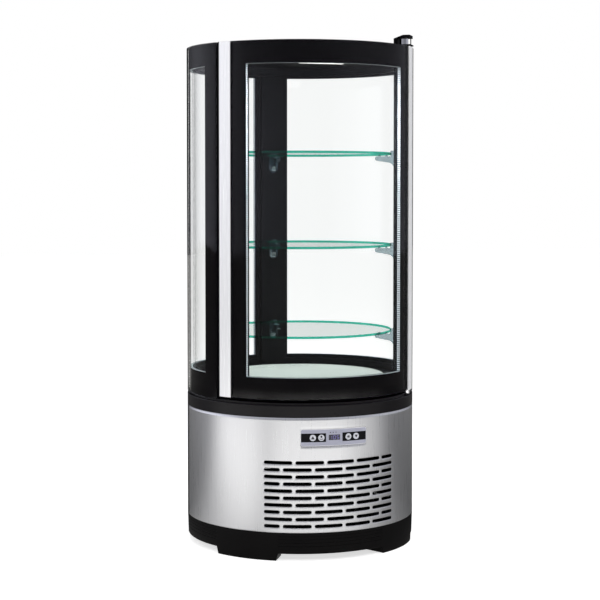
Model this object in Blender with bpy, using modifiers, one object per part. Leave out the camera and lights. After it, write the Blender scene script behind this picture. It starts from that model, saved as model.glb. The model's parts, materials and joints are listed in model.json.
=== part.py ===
"""Round refrigerated display case: an upright glass drum with a hinged, curved glass door,
three glass shelves and a round machine base with a slotted steel skin.

Metres and degrees.  +Z is up, the door faces -Y, and the origin is the middle of the base
at the floor.  Bearings are measured about +Z from the front, positive towards +X.
"""
import math

import bmesh
import bpy
from mathutils import Matrix, Vector

OBJECT_NAME = "refrigerated_display_case"

# Overall
BODY_RADIUS = 0.240
FACET_ANGLE = 7.5               # one flat of the large round walls
SEAT_GAP = 0.0003               # between pieces that rest on each other
NEST_GAP = 0.0006               # between round walls inside one another
CUT_OVERRUN = 0.004             # how far a cutter reaches past what it cuts
WELD_DISTANCE = 0.00001
UNION_STEP = 0.0001             # keeps two joined faces apart

# Base skirt with its moulded feet
FOOT_HEIGHT = 0.0146
FOOT_DEPTH = 0.046
FOOT_BEARING = 45.0
FOOT_HALF_ANGLE = 17.5
SKIRT_HEIGHT = 0.0426
SKIRT_WALL = 0.004
SKIRT_DRAFT = 0.0014
SKIRT_FLANGE_WIDTH = 0.058
SKIRT_FLANGE_THICKNESS = 0.003
GROOVE_COUNT = 3
GROOVE_WIDTH = 0.0026
GROOVE_DEPTH = 0.0011

# Base pan
PAN_THICKNESS = 0.002
PAN_RIM_HEIGHT = 0.027
PAN_RIM_WALL = 0.0015
PAN_OPENING_LENGTH = 0.064
PAN_OPENING_WIDTH = 0.060
PAN_OPENING_CORNER = 0.010
PAN_OPENING_SHARES = (0.586, -0.137)    # of the pan's inner radius

# Steel skin, its slots, and the rear casing
SKIN_HEIGHT = 0.2305
SKIN_THICKNESS = 0.001
SKIN_HALF_ANGLE = 94.0
SLOT_PITCH = 0.0142
SLOT_HEIGHT = 0.0066
SLOT_FIRST_ROW = 0.0130         # lowest row's middle, above the skin's lower edge
SLOT_ROOM = 0.0260              # least from the top row's middle to the fascia
SLOT_ANGLE = 13.8
SLOT_GAP_ANGLE = 1.5
GRILLE_HALF_ANGLE = 34.5
CASING_THICKNESS = 0.0016
CASING_SEAM_ANGLE = 0.2
CASING_SLOT_ROWS = 6
CASING_SLOT_BEARING = 17.0

# Control panel
FASCIA_WIDTH = 0.1412
FASCIA_HEIGHT = 0.0343
FASCIA_CORNER = 0.0045
FASCIA_DROP = 0.0398            # its middle, below the skin's upper edge
FASCIA_THICKNESS = 0.0020
DISPLAY_WIDTH = 0.0236
DISPLAY_HEIGHT = 0.0106
DISPLAY_RECESS = 0.0003
BUTTON_RADIUS = 0.00635
BUTTON_CAP = 0.0024
BUTTON_PROUD = 0.0010
BUTTON_EDGE = 0.0005
BUTTON_TRAVEL = 0.0007
BUTTON_BEARINGS = {"button_up": -10.9, "button_lamp": -6.8, "button_defrost": 6.8, "button_down": 10.9}
STEM_RADIUS = 0.0022
STEM_LENGTH = 0.0070
STEM_BORE_CLEARANCE = 0.0004
HOUSING_DEPTH = 0.025
HOUSING_HEIGHT = 0.030
HOUSING_HALF_ANGLE = 14.5
HOUSING_GAP = 0.0006

# Top ring of the base
RING_HEIGHT = 0.0238
RING_WALL = 0.003
RING_PLATE = 0.003
RING_WIDTH = 0.040              # from its outer wall to its hole
SILL_INSET = 0.0084
SILL_HEIGHT = 0.0043

# Insulated tub, with the cooling coil in it, and the deck over it
TUB_WALL = 0.025
TUB_FLOOR = 0.020
TUB_DEPTH = 0.112               # below the ring's sill
TUB_RIM_HEIGHT = 0.0276
DECK_SEAT = 0.0041              # deck's edge on the tub's wall
DECK_THICKNESS = 0.0046
AIR_SLOT_LENGTH = 0.060
AIR_SLOT_WIDTH = 0.012
AIR_SLOT_SPREAD = 0.045         # either side of the middle
AIR_SLOT_INSET = 0.0385         # inside the deck's edge

# Glazing: outer pane, spacer bar, inner pane and the black frame behind the edge
OUTER_PANE = 0.004
INNER_PANE = 0.0037
SPACER_DEPTH = 0.0074
FRAME_BACK = 0.0082             # frame behind the inner pane
FRAME_LIP = 0.0011              # frame's thin edge behind the inner pane, round the window
FRAME_REBATE = 0.008            # that edge's width above and below the window
FRAME_REBATE_ANGLE = 2.0        # and at each side
GLASS_HEIGHT = 0.7216           # side units, from the sill up
DOOR_LIFT = 0.0113              # door's lower edge above the ring's plate
WINDOW_SILL = 0.0500            # window above the side glass's lower edge
WINDOW_HEAD = 0.0459            # and below its upper edge
EDGE_OVERLAP_ANGLE = 2.4        # inner pane past the window, each side
EDGE_OVERLAP = 0.010            # and above and below it
EDGE_RIM_ANGLE = 0.8            # least frame left beside the inner pane
POCKET_GAP_ANGLE = 0.1
DOOR_HALF_ANGLE = 60.4
DOOR_WINDOW_ANGLE = 44.2
SIDE_FRONT_ANGLE = 62.5
SIDE_WINDOW_FRONT_ANGLE = 72.3
SIDE_REAR_ANGLE = 172.2
SIDE_WINDOW_REAR_ANGLE = 170.5

# Door profiles
PROFILE_ANGLE = 8.0
PROFILE_BLOCK_ANGLE = 5.0
PROFILE_PROUD = 0.0020
PROFILE_FILLET = 0.0030
PROFILE_GAP_ANGLE = 0.12

# Hinge
HINGE_INSET = 0.0110            # axis inside the drum's face
HINGE_BEARING = 57.8
PIN_RADIUS = 0.0040
PIN_CLEARANCE = 0.0004
PIN_REACH = 0.014
BUSH_WIDTH = 0.0132             # bright pivot heads, across the radius
BUSH_SETBACK = 0.0020           # upper head outside the bracket's block
BUSH_WALL = 0.0006              # upper head outside its pin
LOWER_BUSH_BACK = 0.0066        # lower head inside the hinge's axis
LOWER_BUSH_REACH = 0.0106       # and outside it
BRACKET_FRONT_BEARING = 53.2
BRACKET_REAR_BEARING = 61.6
BRACKET_SETBACK = 0.0025        # block inside the roof's edge
BRACKET_BLOCK_DEPTH = 0.0064
BRACKET_INSET = 0.0012          # top plate's end inside the profile's face
BRACKET_WALL_INSET = 0.0030     # upright inside the top plate's end
BRACKET_FOOT_PROUD = 0.0004     # foot plate's end past the profile's face
BRACKET_RISE = 0.0239           # top above the glass
BRACKET_PLATE = 0.0060
BRACKET_FOOT_PLATE = 0.0025
BRACKET_WALL = 0.0018
BRACKET_STRUT_ANGLE = 1.2       # upright's width
BRACKET_CLEARANCE = 0.0020
BRACKET_SLOPE = 0.0070
BRACKET_SLOPE_LENGTH = 0.0196
LOWER_BRACKET_PLATE = 0.0015
LOWER_BRACKET_BACK = 0.0100     # plate inside the hinge's axis

# Posts, header and roof
POST_FLANGE = 0.003
POST_DEPTH = 0.0083
POST_START_ANGLE = 51.8
POST_END_ANGLE = 71.0
POST_RIB_START_ANGLE = 56.0
POST_RIB_END_ANGLE = 65.0
COLUMN_HALF_ANGLE = 7.6
HEADER_HEIGHT = 0.026
HEADER_WALL = 0.012
CEILING_THICKNESS = 0.008
ROOF_DROP = 0.0020              # roof's rim below the glass's upper edge
ROOF_RIM = 0.0140
ROOF_CROWN = 0.0050
LAMP_LENGTH = 0.094
LAMP_WIDTH = 0.014
LAMP_THICKNESS = 0.0163
LAMP_SETBACK = 0.0535           # its middle inside the header's wall

# Shelves and their brackets
SHELF_CLEARANCE = 0.0127        # between a shelf and the posts' ribs
SHELF_THICKNESS = 0.005
SHELF_RISES = {"lower": 0.0968, "middle": 0.2778, "upper": 0.4708}    # above the deck
BRACKET_BEARINGS = {"left": -60.5, "right": 60.5, "rear": 180.0}
ARM_WIDTH = 0.009
ARM_LENGTH = 0.0435
ARM_END_HEIGHT = 0.009
ARM_DROP = 0.0035               # arm's top below the shelf
ARM_SWELL = 0.004               # how much deeper the arm is at its root
ARM_CURVE = 0.014
TAB_RISE = 0.003                # tab above the shelf
TAB_GAP = 0.0006
NUB_WIDTH = 0.004
NUB_SHARES = (0.46, 0.80)       # of the arm's length
BACK_PLATE_WIDTH = 0.020
BACK_PLATE_HEIGHT = 0.044
BACK_PLATE_THICKNESS = 0.0026

# Machinery in the base
CONDENSER_WIDTH = 0.200
CONDENSER_HEIGHT = 0.138
CONDENSER_DEPTH = 0.036
CONDENSER_CLEARANCE = 0.0064    # its front corners from the pan's rim
FIN_PITCH = 0.0125
FIN_THICKNESS = 0.002
FIN_SPINE = 0.003
SHROUD_SIZE = 0.130
SHROUD_THICKNESS = 0.002
SHROUD_COLLAR_DEPTH = 0.024
SHROUD_COLLAR_WALL = 0.002
FAN_RADIUS = 0.048
FAN_TIP_GAP = 0.004
FAN_HUB_RADIUS = 0.018
FAN_HUB_LENGTH = 0.018
FAN_BLADES = 5
FAN_BLADE_ANGLE = 48.0
FAN_BLADE_THICKNESS = 0.0018
FAN_PITCH_ANGLE = 24.0
FAN_DEPTH_SHARE = 0.6           # of the collar's depth
SHAFT_RADIUS = 0.003
SHAFT_CLEARANCE = 0.0004
MOTOR_RADIUS = 0.026
MOTOR_LENGTH = 0.036
MOTOR_FOOT_WIDTH = 0.034
MOTOR_FOOT_DEPTH = 0.022
COMPRESSOR_RADIUS = 0.062
COMPRESSOR_HEIGHT = 0.142
COMPRESSOR_PLACE_SHARES = (0.333, 0.291)    # of the pan's inner radius
COMPRESSOR_SEAM_SHARE = 0.55    # of its height
COMPRESSOR_WAIST = 0.004
COMPRESSOR_PLATE = 0.004
COMPRESSOR_PLATE_WIDTH = 0.150
COMPRESSOR_PLATE_DEPTH = 0.104
TRAY_LENGTH = 0.130
TRAY_WIDTH = 0.096
TRAY_HEIGHT = 0.028
TRAY_WALL = 0.002
TRAY_PLACE_SHARES = (-0.368, 0.368)     # of the pan's inner radius
INLET_BEARING = 180.0
INLET_HEIGHT = 0.034            # above the skin's lower edge
INLET_WIDTH = 0.030
INLET_TALL = 0.024
INLET_DEPTH = 0.026
INLET_FLANGE = 0.004
INLET_POCKET = 0.016
COIL_WIDTH = 0.190
COIL_DEPTH = 0.080
COIL_HEIGHT = 0.060
COIL_PLACE = -0.030
DUCT_FAN_RADIUS = 0.040
DUCT_FAN_INSET = 0.0644         # axis inside the tub's wall
DUCT_MOTOR_RADIUS = 0.020
DUCT_MOTOR_HEIGHT = 0.034

# Heights that follow
skirt_bottom = FOOT_HEIGHT
skirt_top = skirt_bottom + SKIRT_HEIGHT
pan_bottom = skirt_bottom + SKIRT_FLANGE_THICKNESS + SEAT_GAP
pan_top = pan_bottom + PAN_THICKNESS
skin_bottom = skirt_top + SEAT_GAP
skin_top = skin_bottom + SKIN_HEIGHT
ring_bottom = skin_top + SEAT_GAP
ring_top = ring_bottom + RING_HEIGHT
sill_top = ring_top + SILL_HEIGHT
rim_bottom = sill_top + SEAT_GAP
rim_top = rim_bottom + TUB_RIM_HEIGHT
deck_bottom = rim_top + SEAT_GAP
deck_top = deck_bottom + DECK_THICKNESS
door_bottom = ring_top + DOOR_LIFT
side_bottom = sill_top + SEAT_GAP
glass_top = side_bottom + GLASS_HEIGHT
window_bottom = side_bottom + WINDOW_SILL
window_top = glass_top - WINDOW_HEAD
roof_rim_top = glass_top - ROOF_DROP
roof_bottom = roof_rim_top - ROOF_RIM
header_top = roof_bottom - SEAT_GAP
header_bottom = header_top - HEADER_HEIGHT
ceiling_bottom = header_top - CEILING_THICKNESS
post_bottom = rim_top + SEAT_GAP
post_top = header_bottom - SEAT_GAP
tub_bottom = sill_top - TUB_DEPTH
tub_floor = tub_bottom + TUB_FLOOR
fascia_height = skin_top - FASCIA_DROP
grille_reach = fascia_height - FASCIA_HEIGHT / 2 - SLOT_ROOM - skin_bottom - SLOT_FIRST_ROW
slot_rows = math.floor(grille_reach / SLOT_PITCH) + 1
fan_height = pan_top + SEAT_GAP + SHROUD_SIZE / 2
bracket_top = glass_top + BRACKET_RISE

# Radii that follow
skin_inner = BODY_RADIUS - SKIN_THICKNESS
outer_pane_inner = BODY_RADIUS - OUTER_PANE
spacer_outer = outer_pane_inner - SEAT_GAP
spacer_inner = spacer_outer - SPACER_DEPTH
inner_pane_outer = spacer_inner - SEAT_GAP
inner_pane_inner = inner_pane_outer - INNER_PANE
frame_inner = inner_pane_inner - FRAME_BACK
rim_radius = frame_inner - NEST_GAP
post_inner = rim_radius - POST_DEPTH
shelf_radius = post_inner - SHELF_CLEARANCE
ring_hole = BODY_RADIUS - RING_WIDTH
sill_radius = BODY_RADIUS - SILL_INSET
tub_outer = ring_hole - NEST_GAP
tub_inner = tub_outer - TUB_WALL
deck_radius = tub_inner + DECK_SEAT
pan_outer = BODY_RADIUS - SKIRT_WALL - NEST_GAP
pan_inner = pan_outer - PAN_RIM_WALL
condenser_front = math.sqrt(pan_inner ** 2 - (CONDENSER_WIDTH / 2) ** 2) - CONDENSER_CLEARANCE
duct_fan_y = tub_inner - DUCT_FAN_INSET
profile_outer = BODY_RADIUS + PROFILE_PROUD
hinge_radius = BODY_RADIUS - HINGE_INSET
hinge_place = Vector((hinge_radius * math.sin(math.radians(HINGE_BEARING)),
                      -hinge_radius * math.cos(math.radians(HINGE_BEARING)), 0))
block_outer = rim_radius - BRACKET_SETBACK
block_inner = block_outer - BRACKET_BLOCK_DEPTH
bracket_reach = profile_outer - BRACKET_INSET
bracket_wall = bracket_reach - BRACKET_WALL_INSET
bracket_face = (post_inner * math.cos(math.radians(FACET_ANGLE / 2))
                * math.cos(math.asin(BACK_PLATE_WIDTH / 2 / post_inner)) - SEAT_GAP)

# Finishes: colour, roughness, metallic
FINISHES = {
    "black_plastic": ((0.022, 0.021, 0.023), 0.42, 0.0),
    "black_paint": ((0.014, 0.013, 0.015), 0.30, 0.0),
    "brushed_steel": ((0.66, 0.66, 0.68), 0.32, 1.0),
    "galvanised_steel": ((0.50, 0.52, 0.54), 0.50, 1.0),
    "silver_panel": ((0.52, 0.52, 0.62), 0.35, 0.6),
    "display_glass": ((0.015, 0.018, 0.075), 0.10, 0.0),
    "button_silver": ((0.70, 0.71, 0.76), 0.30, 0.8),
    "aluminium": ((0.80, 0.80, 0.82), 0.30, 1.0),
    "glass": ((0.93, 0.97, 0.95), 0.02, 0.0),
    "shelf_glass": ((0.60, 0.90, 0.80), 0.02, 0.0),
    "spacer_bar": ((0.62, 0.66, 0.70), 0.40, 1.0),
    "black_gasket": ((0.012, 0.012, 0.014), 0.60, 0.0),
    "chrome": ((0.85, 0.85, 0.87), 0.08, 1.0),
    "clear_plastic": ((0.80, 0.88, 0.84), 0.12, 0.0),
    "white_deck": ((0.80, 0.82, 0.80), 0.35, 0.0),
    "foam_liner": ((0.020, 0.020, 0.023), 0.45, 0.0),
    "lamp_cover": ((0.95, 0.95, 0.92), 0.30, 0.0),
    "fin_aluminium": ((0.70, 0.72, 0.74), 0.45, 1.0),
    "black_enamel": ((0.010, 0.010, 0.011), 0.25, 0.0),
    "grey_plastic": ((0.25, 0.26, 0.28), 0.50, 0.0),
}


def clear_scene():
    for item in list(bpy.data.objects):
        bpy.data.objects.remove(item, do_unlink=True)


clear_scene()
parts = bpy.data.collections.new(OBJECT_NAME)
cutters = bpy.data.collections.new(OBJECT_NAME + "_cutters")
bpy.context.scene.collection.children.link(parts)
bpy.context.scene.collection.children.link(cutters)


def finish(name):
    """The named finish as a Principled material, made once."""
    material = bpy.data.materials.get(name)
    if material is None:
        colour, roughness, metallic = FINISHES[name]
        material = bpy.data.materials.new(name)
        material.use_nodes = True
        shader = material.node_tree.nodes["Principled BSDF"]
        shader.inputs["Base Color"].default_value = (*colour, 1.0)
        shader.inputs["Roughness"].default_value = roughness
        shader.inputs["Metallic"].default_value = metallic
        material.diffuse_color = (*colour, 1.0)
    return material


def add_part(name, mesh, material):
    """A named sub-part in the object's own collection, smooth on its round walls."""
    mesh.shade_smooth()
    mesh.set_sharp_from_angle(angle=math.radians(FACET_ANGLE * 6))
    mesh.materials.clear()
    mesh.materials.append(finish(material))
    part = bpy.data.objects.new(name, mesh)
    parts.objects.link(part)
    return part


def add_cutter(name, mesh):
    """A cutter: seen as a wire, never rendered and never built."""
    cutter = bpy.data.objects.new(name, mesh)
    cutter.hide_render = True
    cutter.display_type = "WIRE"
    cutters.objects.link(cutter)
    return cutter


def combine(part, tool, operation):
    """A Boolean of the tool on the part: DIFFERENCE, UNION or INTERSECT."""
    modifier = part.modifiers.new(operation.lower(), "BOOLEAN")
    modifier.operation = operation
    modifier.solver = "EXACT"
    modifier.object = tool
    return part


def mesh_from(name, bm):
    bmesh.ops.recalc_face_normals(bm, faces=bm.faces)
    mesh = bpy.data.meshes.new(name)
    bm.to_mesh(mesh)
    bm.free()
    return mesh


def polar(radius, bearing, height=0.0):
    """The point at a radius and bearing from the front, at a height."""
    angle = math.radians(bearing)
    return Vector((radius * math.sin(angle), -radius * math.cos(angle), height))


def flat_share(bearing, step=FACET_ANGLE):
    """How far out a flat of the round walls lies at a bearing, as a share of the radius."""
    middle = (math.floor(bearing / step) + 0.5) * step
    return math.cos(math.radians(step / 2)) / math.cos(math.radians(bearing - middle))


def turn(bearing):
    return Matrix.Rotation(math.radians(bearing), 4, "Z")


def facing(bearing, height):
    """The frame at a bearing whose +Z points outwards, +X runs along the wall and +Y is up."""
    return Matrix.Translation((0, 0, height)) @ turn(bearing) @ Matrix.Rotation(math.radians(90), 4, "X")


def turned_mesh(name, profile, steps):
    """A ring: the closed profile of (radius, height) points revolved about Z by a Screw."""
    area = sum(a[0] * b[1] - b[0] * a[1] for a, b in zip(profile, profile[1:] + profile[:1]))
    ordered = list(reversed(profile)) if area > 0 else list(profile)
    on_axis = [i for i, point in enumerate(ordered) if point[0] == 0]
    closed = len(on_axis) < 2
    if not closed:
        first = on_axis[1] if on_axis[1] - on_axis[0] == 1 else on_axis[0]
        ordered = ordered[first:] + ordered[:first]
    edges = [(i, i + 1) for i in range(len(ordered) - 1)]
    if closed:
        edges.append((len(ordered) - 1, 0))
    outline = bpy.data.meshes.new(name + "_profile")
    outline.from_pydata([(radius, 0, height) for radius, height in ordered], edges, [])
    spun = bpy.data.objects.new(name + "_profile", outline)
    bpy.context.scene.collection.objects.link(spun)
    screw = spun.modifiers.new("revolve", "SCREW")
    screw.steps = steps
    screw.render_steps = steps
    screw.use_merge_vertices = True
    screw.merge_threshold = WELD_DISTANCE
    bpy.context.view_layer.update()
    evaluated = spun.evaluated_get(bpy.context.evaluated_depsgraph_get())
    mesh = bpy.data.meshes.new_from_object(evaluated)
    bpy.data.objects.remove(spun)
    bm = bmesh.new()
    bm.from_mesh(mesh)
    bmesh.ops.remove_doubles(bm, verts=bm.verts, dist=WELD_DISTANCE)
    bpy.data.meshes.remove(mesh)
    return mesh_from(name, bm)


def turned(name, profile, material, steps=None):
    return add_part(name, turned_mesh(name, profile, steps or round(360 / FACET_ANGLE)), material)


def bearings_between(start, end, step=FACET_ANGLE):
    """The start, every whole step between, and the end, so that nested walls share their flats."""
    inner = range(math.floor(start / step) + 1, math.ceil(end / step))
    return [start] + [k * step for k in inner] + [end]


def sector_mesh(name, profile, start, end, step=FACET_ANGLE):
    """The closed profile of (radius, height) points swept about Z from one bearing to another."""
    stops = bearings_between(start, end, step)
    bm = bmesh.new()
    near = flat_share(start, step)
    corners = [bm.verts.new(polar(radius * near, start, height)) for radius, height in profile]
    ends = [bm.faces.new(corners)]
    for before, after in zip(stops, stops[1:]):
        swept = bmesh.ops.extrude_face_region(bm, geom=ends)["geom"]
        if before != start:
            bmesh.ops.delete(bm, geom=ends, context="FACES_ONLY")
        ends = [item for item in swept if isinstance(item, bmesh.types.BMFace)]
        moved = [item for item in swept if isinstance(item, bmesh.types.BMVert)]
        share = flat_share(after, step) / flat_share(before, step)
        step_on = turn(after - before) @ Matrix.Diagonal((share, share, 1, 1))
        bmesh.ops.transform(bm, matrix=step_on, verts=moved)
    return mesh_from(name, bm)


def sector(name, profile, start, end, material, step=FACET_ANGLE):
    return add_part(name, sector_mesh(name, profile, start, end, step), material)


def wall(inner, outer, bottom, top):
    """The profile of a plain upright wall."""
    return [(outer, top), (outer, bottom), (inner, bottom), (inner, top)]


def wall_cutter(name, inner, outer, bottom, top, start, end, step=FACET_ANGLE):
    return add_cutter(name, sector_mesh(name, wall(inner, outer, bottom, top), start, end, step))


def plate_mesh(name, outline, thickness):
    """A flat outline in X and Y, filled and given a thickness about Z = 0."""
    curve = bpy.data.curves.new(name + "_outline", "CURVE")
    curve.dimensions = "2D"
    curve.fill_mode = "BOTH"
    curve.extrude = thickness / 2
    spline = curve.splines.new("POLY")
    spline.points.add(len(outline) - 1)
    for point, (x, y) in zip(spline.points, outline):
        point.co = (x, y, 0, 1)
    spline.use_cyclic_u = True
    flat = bpy.data.objects.new(name + "_outline", curve)
    bpy.context.scene.collection.objects.link(flat)
    bpy.context.view_layer.update()
    evaluated = flat.evaluated_get(bpy.context.evaluated_depsgraph_get())
    mesh = bpy.data.meshes.new_from_object(evaluated)
    bpy.data.objects.remove(flat)
    bpy.data.curves.remove(curve)
    bm = bmesh.new()
    bm.from_mesh(mesh)
    bmesh.ops.remove_doubles(bm, verts=bm.verts, dist=WELD_DISTANCE)
    bpy.data.meshes.remove(mesh)
    return mesh_from(name, bm)


def arc(centre, radius, start, end, steps):
    """Points on a flat arc, from one angle in degrees to another."""
    turns = [math.radians(start + (end - start) * i / steps) for i in range(steps + 1)]
    return [(centre[0] + radius * math.cos(a), centre[1] + radius * math.sin(a)) for a in turns]


def stadium(length, height, steps=3):
    """A slot's outline: two half rounds joined by straight sides."""
    radius = height / 2
    reach = length / 2 - radius
    return arc((reach, 0), radius, -90, 90, steps) + arc((-reach, 0), radius, 90, 270, steps)


def rounded_rectangle(width, height, radius, steps=3):
    x, y = width / 2 - radius, height / 2 - radius
    return (arc((x, y), radius, 0, 90, steps) + arc((-x, y), radius, 90, 180, steps)
            + arc((-x, -y), radius, 180, 270, steps) + arc((x, -y), radius, 270, 360, steps))


def plan_arc(radius, start, end):
    """Plan points of a round wall, as (x, y), from one bearing to another."""
    if end < start:
        return list(reversed(plan_arc(radius, end, start)))
    return [tuple(polar(radius * flat_share(b), b))[:2] for b in bearings_between(start, end)]


def upright(name, outline, bottom, top, material):
    """A plan outline drawn up from one height to another."""
    mesh = plate_mesh(name, outline, top - bottom)
    mesh.transform(Matrix.Translation((0, 0, (top + bottom) / 2)))
    return add_part(name, mesh, material)


def box_mesh(name, low, high):
    low, high = Vector(low), Vector(high)
    bm = bmesh.new()
    bmesh.ops.create_cube(bm, size=1)
    size = high - low
    place = Matrix.Translation((low + high) / 2)
    bmesh.ops.transform(bm, matrix=place @ Matrix.Diagonal((*size, 1)), verts=bm.verts)
    return mesh_from(name, bm)


def rod_mesh(name, radius, bottom, top, steps=16):
    """A plain cylinder on Z."""
    bm = bmesh.new()
    middle = Matrix.Translation((0, 0, (top + bottom) / 2))
    bmesh.ops.create_cone(bm, cap_ends=True, segments=steps, radius1=radius, radius2=radius,
                          depth=top - bottom, matrix=middle)
    return mesh_from(name, bm)


def gathered(name, meshes_and_places):
    """Several meshes, each at its place, as one cutter mesh."""
    bm = bmesh.new()
    for mesh, place in meshes_and_places:
        copy = mesh.copy()
        copy.transform(place)
        bm.from_mesh(copy)
        bpy.data.meshes.remove(copy)
    return mesh_from(name, bm)


def hang_on_axis(name, place, turned_to, pieces):
    """An empty on a joint's axis, which carries the pieces that move about it."""
    axis = bpy.data.objects.new(name, None)
    axis.matrix_world = Matrix.Translation(place) @ turned_to
    parts.objects.link(axis)
    bpy.context.view_layer.update()
    for piece in pieces:
        piece.parent = axis
        piece.matrix_parent_inverse = axis.matrix_world.inverted()
    return axis


def build_skirt():
    """The moulded skirt: a grooved ring with an inward flange and four feet in one piece."""
    outer_low = BODY_RADIUS - SKIRT_DRAFT
    outline = [(BODY_RADIUS, skirt_top)]
    for number in range(GROOVE_COUNT):
        middle = skirt_top - SKIRT_HEIGHT * (number + 1) / (GROOVE_COUNT + 1)
        share = (skirt_top - middle) / SKIRT_HEIGHT
        face = BODY_RADIUS - SKIRT_DRAFT * share
        half = GROOVE_WIDTH / 2
        outline += [(face, middle + half), (face - GROOVE_DEPTH, middle), (face, middle - half)]
    outline += [(outer_low, skirt_bottom), (BODY_RADIUS - SKIRT_FLANGE_WIDTH, skirt_bottom),
                (BODY_RADIUS - SKIRT_FLANGE_WIDTH, skirt_bottom + SKIRT_FLANGE_THICKNESS),
                (BODY_RADIUS - SKIRT_WALL, skirt_bottom + SKIRT_FLANGE_THICKNESS),
                (BODY_RADIUS - SKIRT_WALL, skirt_top)]
    skirt = turned("base_skirt", outline, "black_plastic")
    root = skirt_bottom + SKIRT_FLANGE_THICKNESS / 2
    foot_outer = outer_low - UNION_STEP
    foot_outline = [(foot_outer, root), (foot_outer - SKIRT_DRAFT / 2, 0), (foot_outer - FOOT_DEPTH, 0),
                    (foot_outer - FOOT_DEPTH, root)]
    foot = sector_mesh("foot", foot_outline, -FOOT_HALF_ANGLE, FOOT_HALF_ANGLE)
    places = [(foot, turn(FOOT_BEARING + quarter * 90)) for quarter in range(4)]
    return combine(skirt, add_cutter("feet_tool", gathered("feet_tool", places)), "UNION")


def build_pan():
    """The pressed pan that carries the machinery, with an air opening on each side."""
    rim = pan_bottom + PAN_RIM_HEIGHT
    pan = turned("base_pan", [(0, pan_top), (pan_inner, pan_top), (pan_inner, rim), (pan_outer, rim),
                              (pan_outer, pan_bottom), (0, pan_bottom)], "galvanised_steel")
    outline = rounded_rectangle(PAN_OPENING_LENGTH, PAN_OPENING_WIDTH, PAN_OPENING_CORNER, 2)
    opening = plate_mesh("pan_opening", outline, PAN_THICKNESS + 2 * CUT_OVERRUN)
    x, y = (pan_inner * share for share in PAN_OPENING_SHARES)
    level = (pan_bottom + pan_top) / 2
    places = [(opening, Matrix.Translation((side * x, y, level))) for side in (-1, 1)]
    return combine(pan, add_cutter("pan_openings", gathered("pan_openings", places)), "DIFFERENCE")


def slot_places(row):
    """The middle bearing and the angle of each slot in a row: long ones, and a short one in the rest."""
    long_count = math.floor((2 * GRILLE_HALF_ANGLE + SLOT_GAP_ANGLE) / (SLOT_ANGLE + SLOT_GAP_ANGLE))
    angles = [SLOT_ANGLE] * long_count
    short = 2 * GRILLE_HALF_ANGLE - long_count * (SLOT_ANGLE + SLOT_GAP_ANGLE)
    if chord(short) > SLOT_HEIGHT:
        angles.append(short)
    if row % 2 == 0:
        angles.reverse()
    edge = -GRILLE_HALF_ANGLE
    placed = []
    for angle in angles:
        placed.append((edge + angle / 2, angle))
        edge += angle + SLOT_GAP_ANGLE
    return placed


def chord(angle):
    return 2 * BODY_RADIUS * math.sin(math.radians(angle / 2))


def grille_slots():
    """All the slots of the steel skin, as one cutter: staggered rows with round ends."""
    depth = 2 * CUT_OVERRUN
    meshes = {}
    placed = []
    for row in range(slot_rows):
        height = skin_bottom + SLOT_FIRST_ROW + row * SLOT_PITCH
        for bearing, angle in slot_places(row):
            if angle not in meshes:
                meshes[angle] = plate_mesh("slot", stadium(chord(angle), SLOT_HEIGHT), depth)
            outwards = Matrix.Translation((0, 0, skin_inner))
            placed.append((meshes[angle], facing(bearing, height) @ outwards))
    return add_cutter("grille_slots", gathered("grille_slots", placed))


def build_skin():
    """The rolled steel skin with its slot grille and the cut-out for the control panel."""
    skin = sector("front_skin", wall(skin_inner, BODY_RADIUS, skin_bottom, skin_top), -SKIN_HALF_ANGLE,
                  SKIN_HALF_ANGLE, "brushed_steel")
    combine(skin, grille_slots(), "DIFFERENCE")
    gap = 2 * SEAT_GAP
    outline = rounded_rectangle(FASCIA_WIDTH + gap, FASCIA_HEIGHT + gap, FASCIA_CORNER + SEAT_GAP)
    opening = plate_mesh("fascia_opening", outline, BODY_RADIUS / 4)
    opening.transform(facing(0, fascia_height) @ Matrix.Translation((0, 0, BODY_RADIUS)))
    return combine(skin, add_cutter("fascia_opening", opening), "DIFFERENCE")


def build_casing():
    """The painted rear casing with two columns of air slots and the inlet's cut-out."""
    inner = BODY_RADIUS - CASING_THICKNESS
    start = SKIN_HALF_ANGLE + CASING_SEAM_ANGLE
    casing = sector("rear_casing", wall(inner, BODY_RADIUS, skin_bottom, skin_top), start, 360 - start,
                    "black_paint")
    slot = plate_mesh("casing_slot", stadium(chord(SLOT_ANGLE), SLOT_HEIGHT, 2), 2 * CUT_OVERRUN)
    placed = []
    for row in range(CASING_SLOT_ROWS):
        height = skin_top - SLOT_PITCH * (row + 2)
        for side in (-1, 1):
            bearing = 180 + side * CASING_SLOT_BEARING
            placed.append((slot, facing(bearing, height) @ Matrix.Translation((0, 0, inner))))
    combine(casing, add_cutter("casing_slots", gathered("casing_slots", placed)), "DIFFERENCE")
    half_width, half_tall = INLET_WIDTH / 2 + SEAT_GAP, INLET_TALL / 2 + SEAT_GAP
    hole = box_mesh("inlet_hole", (-half_width, -half_tall, inner - 2 * CUT_OVERRUN),
                    (half_width, half_tall, BODY_RADIUS + CUT_OVERRUN))
    hole.transform(facing(INLET_BEARING, skin_bottom + INLET_HEIGHT))
    return combine(casing, add_cutter("inlet_hole", hole), "DIFFERENCE")


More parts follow.
